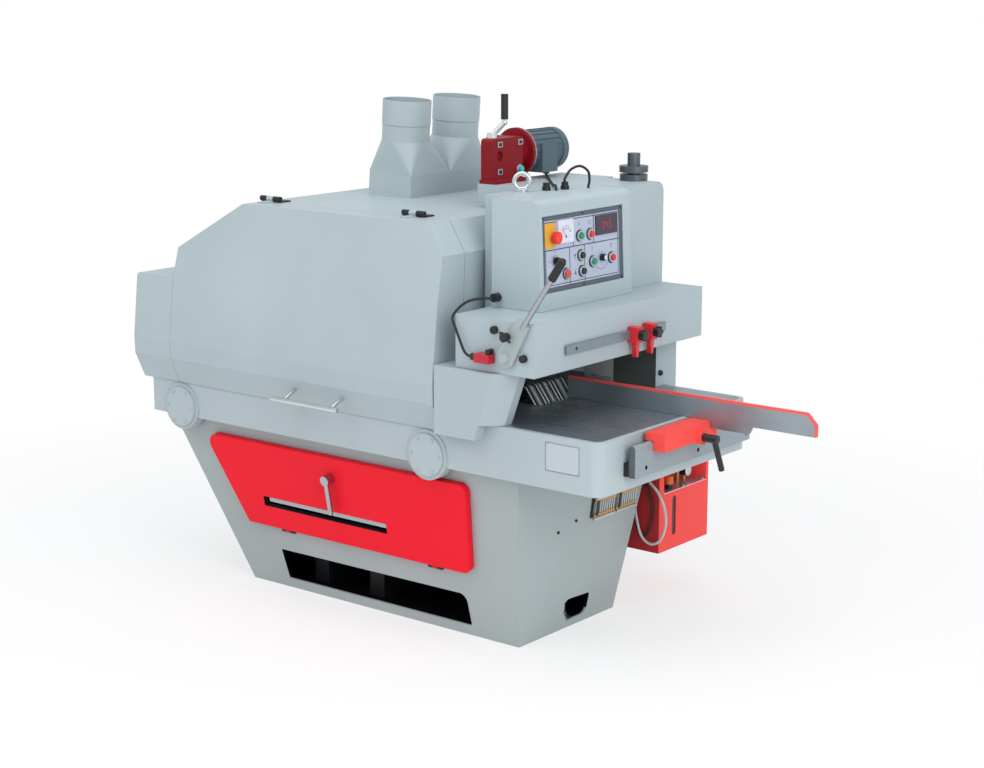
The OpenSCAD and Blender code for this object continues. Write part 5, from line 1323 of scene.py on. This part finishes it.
@dataclass
class Manifolds:
    """Two oil manifolds on the infeed wall of the base: bars joined by rows of nuts and thin lines."""

    stock: Stock
    foot: Point = (0.641, 0, 0)
    lean: float = math.atan(0.138)
    spans: Pairs = ((0.064, 0.190), (0.200, 0.324))
    levels: Pair = (0.394, 0.478)
    bar: Pair = (0.016, 0.009)
    bar_bevel: float = 0.0015
    wall_gap: float = 0.002
    lines: int = 9
    line_radius: float = 0.0030
    line_chamfer: Pair = (0.0005, 0.7)
    nut_radius: float = 0.0058
    nut_height: float = 0.012
    nut_chamfer: Pair = (0.001, 0.8)
    bracket: float = 0.012
    bracket_t: float = 0.004
    strap_t: float = 0.003
    plate_bevel: float = 0.001

    def build(self) -> None:
        """Makes the bars, nuts, lines and brackets of both manifolds."""
        wall = Matrix.Translation(self.foot) @ Matrix.Rotation(self.lean, 4, "Y")
        depth, height = self.bar
        low, high = self.levels
        bars, black, nuts, lines = [], [], [], []
        for near, far in self.spans:
            for level in (low, high - height):
                bars.append(Shop.block("bar", (self.wall_gap, near, level),
                                       (depth, far, level + height), self.bar_bevel))
            black.append(Shop.block("bracket", (0, near - self.bracket, low + height),
                                    (self.bracket_t, near, high), self.plate_bevel))
            black.append(Shop.block("strap", (depth, near, low + 2 * height),
                                    (depth + self.strap_t, near + self.bracket, high - height),
                                    self.plate_bevel))
            for k in range(self.lines):
                y = near + (k + 0.5) * (far - near) / self.lines
                lines.append(Matrix.Translation((depth / 2, y, low + height / 2)))
                nuts += [Matrix.Translation((depth / 2, y, z))
                         for z in (low + height, high - height - self.nut_height)]
        nut = Shop.turned("nut", 6, self.nut_radius, ((self.nut_height, 1.0), self.nut_chamfer))
        line = Shop.turned("line", 12, self.line_radius, ((high - low - height, 1.0), self.line_chamfer))
        made = ((Shop.join(bars, "manifold_bars"), "zinc", "bright_steel"),
                (Shop.copies(nut, nuts, "manifold_nuts"), "brass", "bright_steel"),
                (Shop.copies(line, lines, "manifold_lines"), "zinc", "steel"),
                (Shop.join(black, "manifold_brackets"), "hinge_black", "black_metal"))
        for piece, finish, slot in made:
            piece.data.transform(wall)
            self.stock.dress(piece, finish, slot)


@dataclass
class GearTrim:
    """Fixing pads and oil plug on the worm gearbox, and the pale rim of its flange."""

    stock: Stock
    face: float = 0.284
    pads: Pairs = ((0.064, 1.682), (0.064, 1.586), (0.180, 1.684))
    pad: Pair = (0.026, 0.020)
    pad_foot: float = 0.001
    pad_lift: float = 0.003
    pad_rim: float = 0.004
    pad_bevel: float = 0.001
    hole_lift: float = 0.0005
    hole_bevel: float = 0.0004
    plug: Pair = (0.176, 1.589)
    plug_radius: float = 0.012
    plug_height: float = 0.010
    plug_chamfer: Pair = (0.002, 0.8)
    seat_share: float = 1.35
    seat_height: float = 0.003
    seat_chamfer: Pair = (0.001, 0.9)
    rim: Point = (0.215, 0.2545, 1.641)
    rim_size: Point = (0.0866, 0.004, 0.003)

    def build(self) -> None:
        """Makes and dresses the trim."""
        rims, holes = [], []
        across, up = self.pad[0] / 2, self.pad[1] / 2
        top, rim = self.face + self.pad_lift, self.pad_rim
        for y, z in self.pads:
            rims.append(Shop.block("pad", (self.face - self.pad_foot, y - across, z - up),
                                   (top, y + across, z + up), self.pad_bevel))
            # Painted shade: a black patch in each pad stands for its hole.
            holes.append(Shop.block("pad_hole_shade", (self.face, y - across + rim, z - up + rim),
                                    (top + self.hole_lift, y + across - rim, z + up - rim),
                                    self.hole_bevel))
        seat = Shop.turned("plug_seat", 24, self.plug_radius * self.seat_share,
                           ((self.seat_height, 1.0), self.seat_chamfer))
        seat.data.transform(facing((self.face, *self.plug), "Y"))
        plug = Shop.turned("oil_plug", 6, self.plug_radius, ((self.plug_height, 1.0), self.plug_chamfer))
        plug.data.transform(facing((self.face + self.seat_height, *self.plug), "Y"))
        flange = Shop.hoop("flange_rim", 64, *self.rim_size)
        flange.data.transform(facing(self.rim, "X"))
        self.stock.dress(Shop.join([*rims, seat, flange], "gearbox_pads"), "zinc", "bright_steel")
        self.stock.dress(Shop.join(holes, "gearbox_pad_hole_shade"), "hinge_black", "black_metal")
        self.stock.dress(plug, "cyan_plastic", "green_plastic")


@dataclass
class SmallHardware:
    """Blank plate on the bed, door baffle, rail spacer, edge of the tank's deck, and bolt heads."""

    stock: Stock
    plate_x: Pair = (0.874, 1.012)
    plate_z: Pair = (0.701, 0.798)
    plate_y: float = -0.445
    plate_t: float = 0.0012
    plate_bevel: float = 0.0004
    rivet: float = 0.003
    rivet_steps: Pairs = ((0.0006, 0.9), (0.0005, 0.55))
    margin: float = 0.007
    border: float = 0.0016
    border_t: float = 0.0002
    column: Point = (0.745, 0.405, 0.869)
    column_radius: float = 0.010
    deck_x: Pair = (0.616, 0.744)
    deck_y: Point = (0.444, 0.575, 0.706)
    deck_radius: float = 0.0055
    wall_places: Points = ((0.697, -0.031, 0.408), (0.694, -0.131, 0.387))
    bar_places: Points = ((0.862, -0.262, 1.073), (0.862, 0.214, 1.073))
    bar_radius: float = 0.006
    bar_rise: float = 0.0002
    wall_foot: Point = (0, -0.279, 0)
    wall_lean: float = math.atan(0.19)
    baffle: Box = ((-0.470, 0.3570, 0.012), (0.114, 0.3795, 0.014))
    baffle_bevel: float = 0.0004
    spacer: Box = ((1.0904, -0.3142, 0.6890), (1.1116, -0.2860, 0.7340))
    spacer_bevel: float = 0.001
    edge: Box = ((0.7515, 0.4345, 0.4125), (0.7548, 0.7155, 0.4158))
    edge_bevel: float = 0.0006

    def plate(self) -> None:
        """Makes the blank plate with its border and rivets."""
        (x0, x1), (z0, z1), y, w = self.plate_x, self.plate_z, self.plate_y, self.border
        front = y - self.plate_t
        plate = Shop.block("blank_plate", (x0, front, z0), (x1, y, z1), self.plate_bevel)
        self.stock.dress(plate, "plate_pale", "bright_steel")
        bars = ((x0 + w, z0 + w, x1 - w, z0 + 2 * w), (x0 + w, z1 - 2 * w, x1 - w, z1 - w),
                (x0 + w, z0 + 2 * w, x0 + 2 * w, z1 - 2 * w), (x1 - 2 * w, z0 + 2 * w, x1 - w, z1 - 2 * w))
        border = [Shop.block("border", (a, front - self.border_t, b), (c, front, d)) for a, b, c, d in bars]
        self.stock.dress(Shop.join(border, "plate_border"), "panel_slate", "black_metal")
        places = [facing((x, front, z), "X") for x in (x0 + self.margin, x1 - self.margin)
                  for z in (z0 + self.margin, z1 - self.margin)]
        rivet = Shop.turned("rivet", 16, self.rivet, self.rivet_steps)
        self.stock.dress(Shop.copies(rivet, places, "plate_rivets"), "zinc", "bright_steel")

    def deck_bolts(self) -> None:
        """Makes the bolts on the tank's deck."""
        deck = [Matrix.Translation((x, y, DECK)) for x in self.deck_x for y in self.deck_y]
        bolts = Shop.copies(Shop.bolt("deck_bolt", self.deck_radius), deck, "deck_bolts")
        self.stock.dress(bolts, "zinc", "bright_steel")

    def frame_bolts(self) -> None:
        """Makes the bolts on the base's wall, the pointer bar and the column."""
        made = []
        for name, pattern, places in (
                ("wall_bolts", Shop.bolt("wall_bolt", self.deck_radius), self.wall_places),
                ("bar_screws", Shop.turned("bar_screw", 24, self.bar_radius, ((self.bar_rise, 1.0),)),
                 self.bar_places),
                ("column_bolts", Shop.bolt("column_bolt", self.column_radius), (self.column,))):
            made.append(Shop.copies(pattern, [facing(place, "Y") for place in places], name))
        self.stock.dress(Shop.join(made, "frame_bolts"), "hinge_black", "black_metal")

    def strips(self) -> None:
        """Makes the spacer behind the rail, the deck's bright edge and the baffle behind the door's slot."""
        spacer = Shop.block("rail_spacer", *self.spacer, self.spacer_bevel)
        self.stock.dress(spacer, "hinge_black", "dark_steel")
        edge = Shop.block("deck_edge", *self.edge, self.edge_bevel)
        self.stock.dress(edge, "bright_steel", "bright_steel")
        baffle = Shop.block("door_baffle", *self.baffle, self.baffle_bevel)
        baffle.data.transform(Matrix.Translation(self.wall_foot)
                              @ Matrix.Rotation(QUARTER + self.wall_lean, 4, "X"))
        self.stock.dress(baffle, "plate_pale", "bright_steel", "base_door")

    def build(self) -> None:
        """Makes every small piece."""
        self.plate()
        self.deck_bolts()
        self.strips()
        self.frame_bolts()


@dataclass
class Studio:
    """Pale floor, soft light and the camera."""

    place: Point = (4.567, -5.346, 2.290)
    pitch: float = 78.0
    azimuth: float = 38.6
    lens: float = 71.7
    sensor: float = 36.0
    floor_half: float = 30.0
    floor_tone: Colour = (0.93, 0.93, 0.93)
    clear_from: float = 1.9
    clear_to: float = 3.4
    pale: float = 0.62
    white: Colour = (1.0, 1.0, 1.0)
    sky: Colour = (0.93, 0.96, 1.0)
    sky_strength: float = 0.7
    lamps: tuple[tuple[str, Point, Point, float, float], ...] = (
        ("key_lamp", (-1.5, -5.5, 5.5), (0.0, 0.0, 0.8), 4.0, 70.0),
        ("end_lamp", (6.5, -2.5, 3.6), (0.4, 0.0, 0.9), 4.0, 150.0),
        ("top_lamp", (0.6, -1.2, 6.0), (0.0, 0.0, 1.0), 5.0, 110.0))

    def camera(self) -> None:
        """Makes the camera at the photograph's viewing angle."""
        data = bpy.data.cameras.new("camera")
        data.lens, data.sensor_width = self.lens, self.sensor
        camera = Shop.placed("camera", data)
        camera.location = self.place
        camera.rotation_euler = (math.radians(self.pitch), 0.0, math.radians(self.azimuth))
        bpy.context.scene.camera = camera

    def floor(self) -> None:
        """Makes the floor, which fades to plain white away from the machine."""
        Shop.clear()
        bpy.ops.mesh.primitive_plane_add(size=2 * self.floor_half)
        plane = bpy.context.active_object
        plane.name = "floor"
        graph = Graph.of("floor_white")
        x, y = graph.axis("X"), graph.axis("Y")
        reach = ((x * x) + (y * y)) ** 0.5
        path = graph.add("LightPath").outputs
        seen, shiny, through = (Val(graph, path[f"Is {ray} Ray"])
                                for ray in ("Camera", "Glossy", "Transmission"))
        matt = graph.add("BsdfDiffuse", None, {"Color": self.floor_tone})
        white = graph.add("Emission", None, {"Color": self.white, "Strength": 1.0})
        clear = reach.fit(self.clear_from, self.clear_to) * (1 - self.pale) + self.pale
        plane.data.materials.append(graph.close(graph.add("MixShader", None, {
            0: clear * (seen | shiny | through), 1: matt.outputs[0], 2: white.outputs[0]})))

    def lamp(self, name: str, place: Point, aim: Point, size: float, power: float) -> None:
        """Adds one soft square lamp.

        Args:
            name: Name of the lamp.
            place: Its place in metres.
            aim: The point that it faces.
            size: Side of its square.
            power: Its power in watts.
        """
        data = bpy.data.lights.new(name, "AREA")
        data.size, data.energy = size, power
        lamp = Shop.placed(name, data)
        lamp.location = place
        lamp.rotation_euler = (Vector(aim) - Vector(place)).to_track_quat("-Z", "Y").to_euler()

    def world(self) -> None:
        """Gives the world a soft grey light and a white look to the camera."""
        graph = Graph(bpy.data.worlds.new("studio"))
        seen = graph.add("LightPath").outputs["Is Camera Ray"]
        light = graph.add("Background", None, {"Color": self.sky, "Strength": self.sky_strength})
        plain = graph.add("Background", None, {"Color": self.white})
        mix = graph.add("MixShader", None, {0: seen, 1: light.outputs[0], 2: plain.outputs[0]})
        bpy.context.scene.world = graph.close(mix, "OutputWorld")

    def build(self) -> None:
        """Sets up the whole studio."""
        bpy.context.scene.view_settings.view_transform = "Standard"
        self.camera()
        self.floor()
        self.world()
        for row in self.lamps:
            self.lamp(*row)


def main() -> None:
    """Builds the studio, the cables, the finishes and the small pieces in order."""
    logging.basicConfig(level=logging.INFO, format="%(message)s")
    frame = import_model()
    Studio().build()
    stock = Stock()
    panel = PanelFace()
    Cables(stock).build()
    CadFinishes(frame["nodes"], stock, panel).build()
    PanelMarks(panel, stock).build()
    Manifolds(stock).build()
    GearTrim(stock).build()
    SmallHardware(stock).build()


if __name__ == "__main__":
    main()
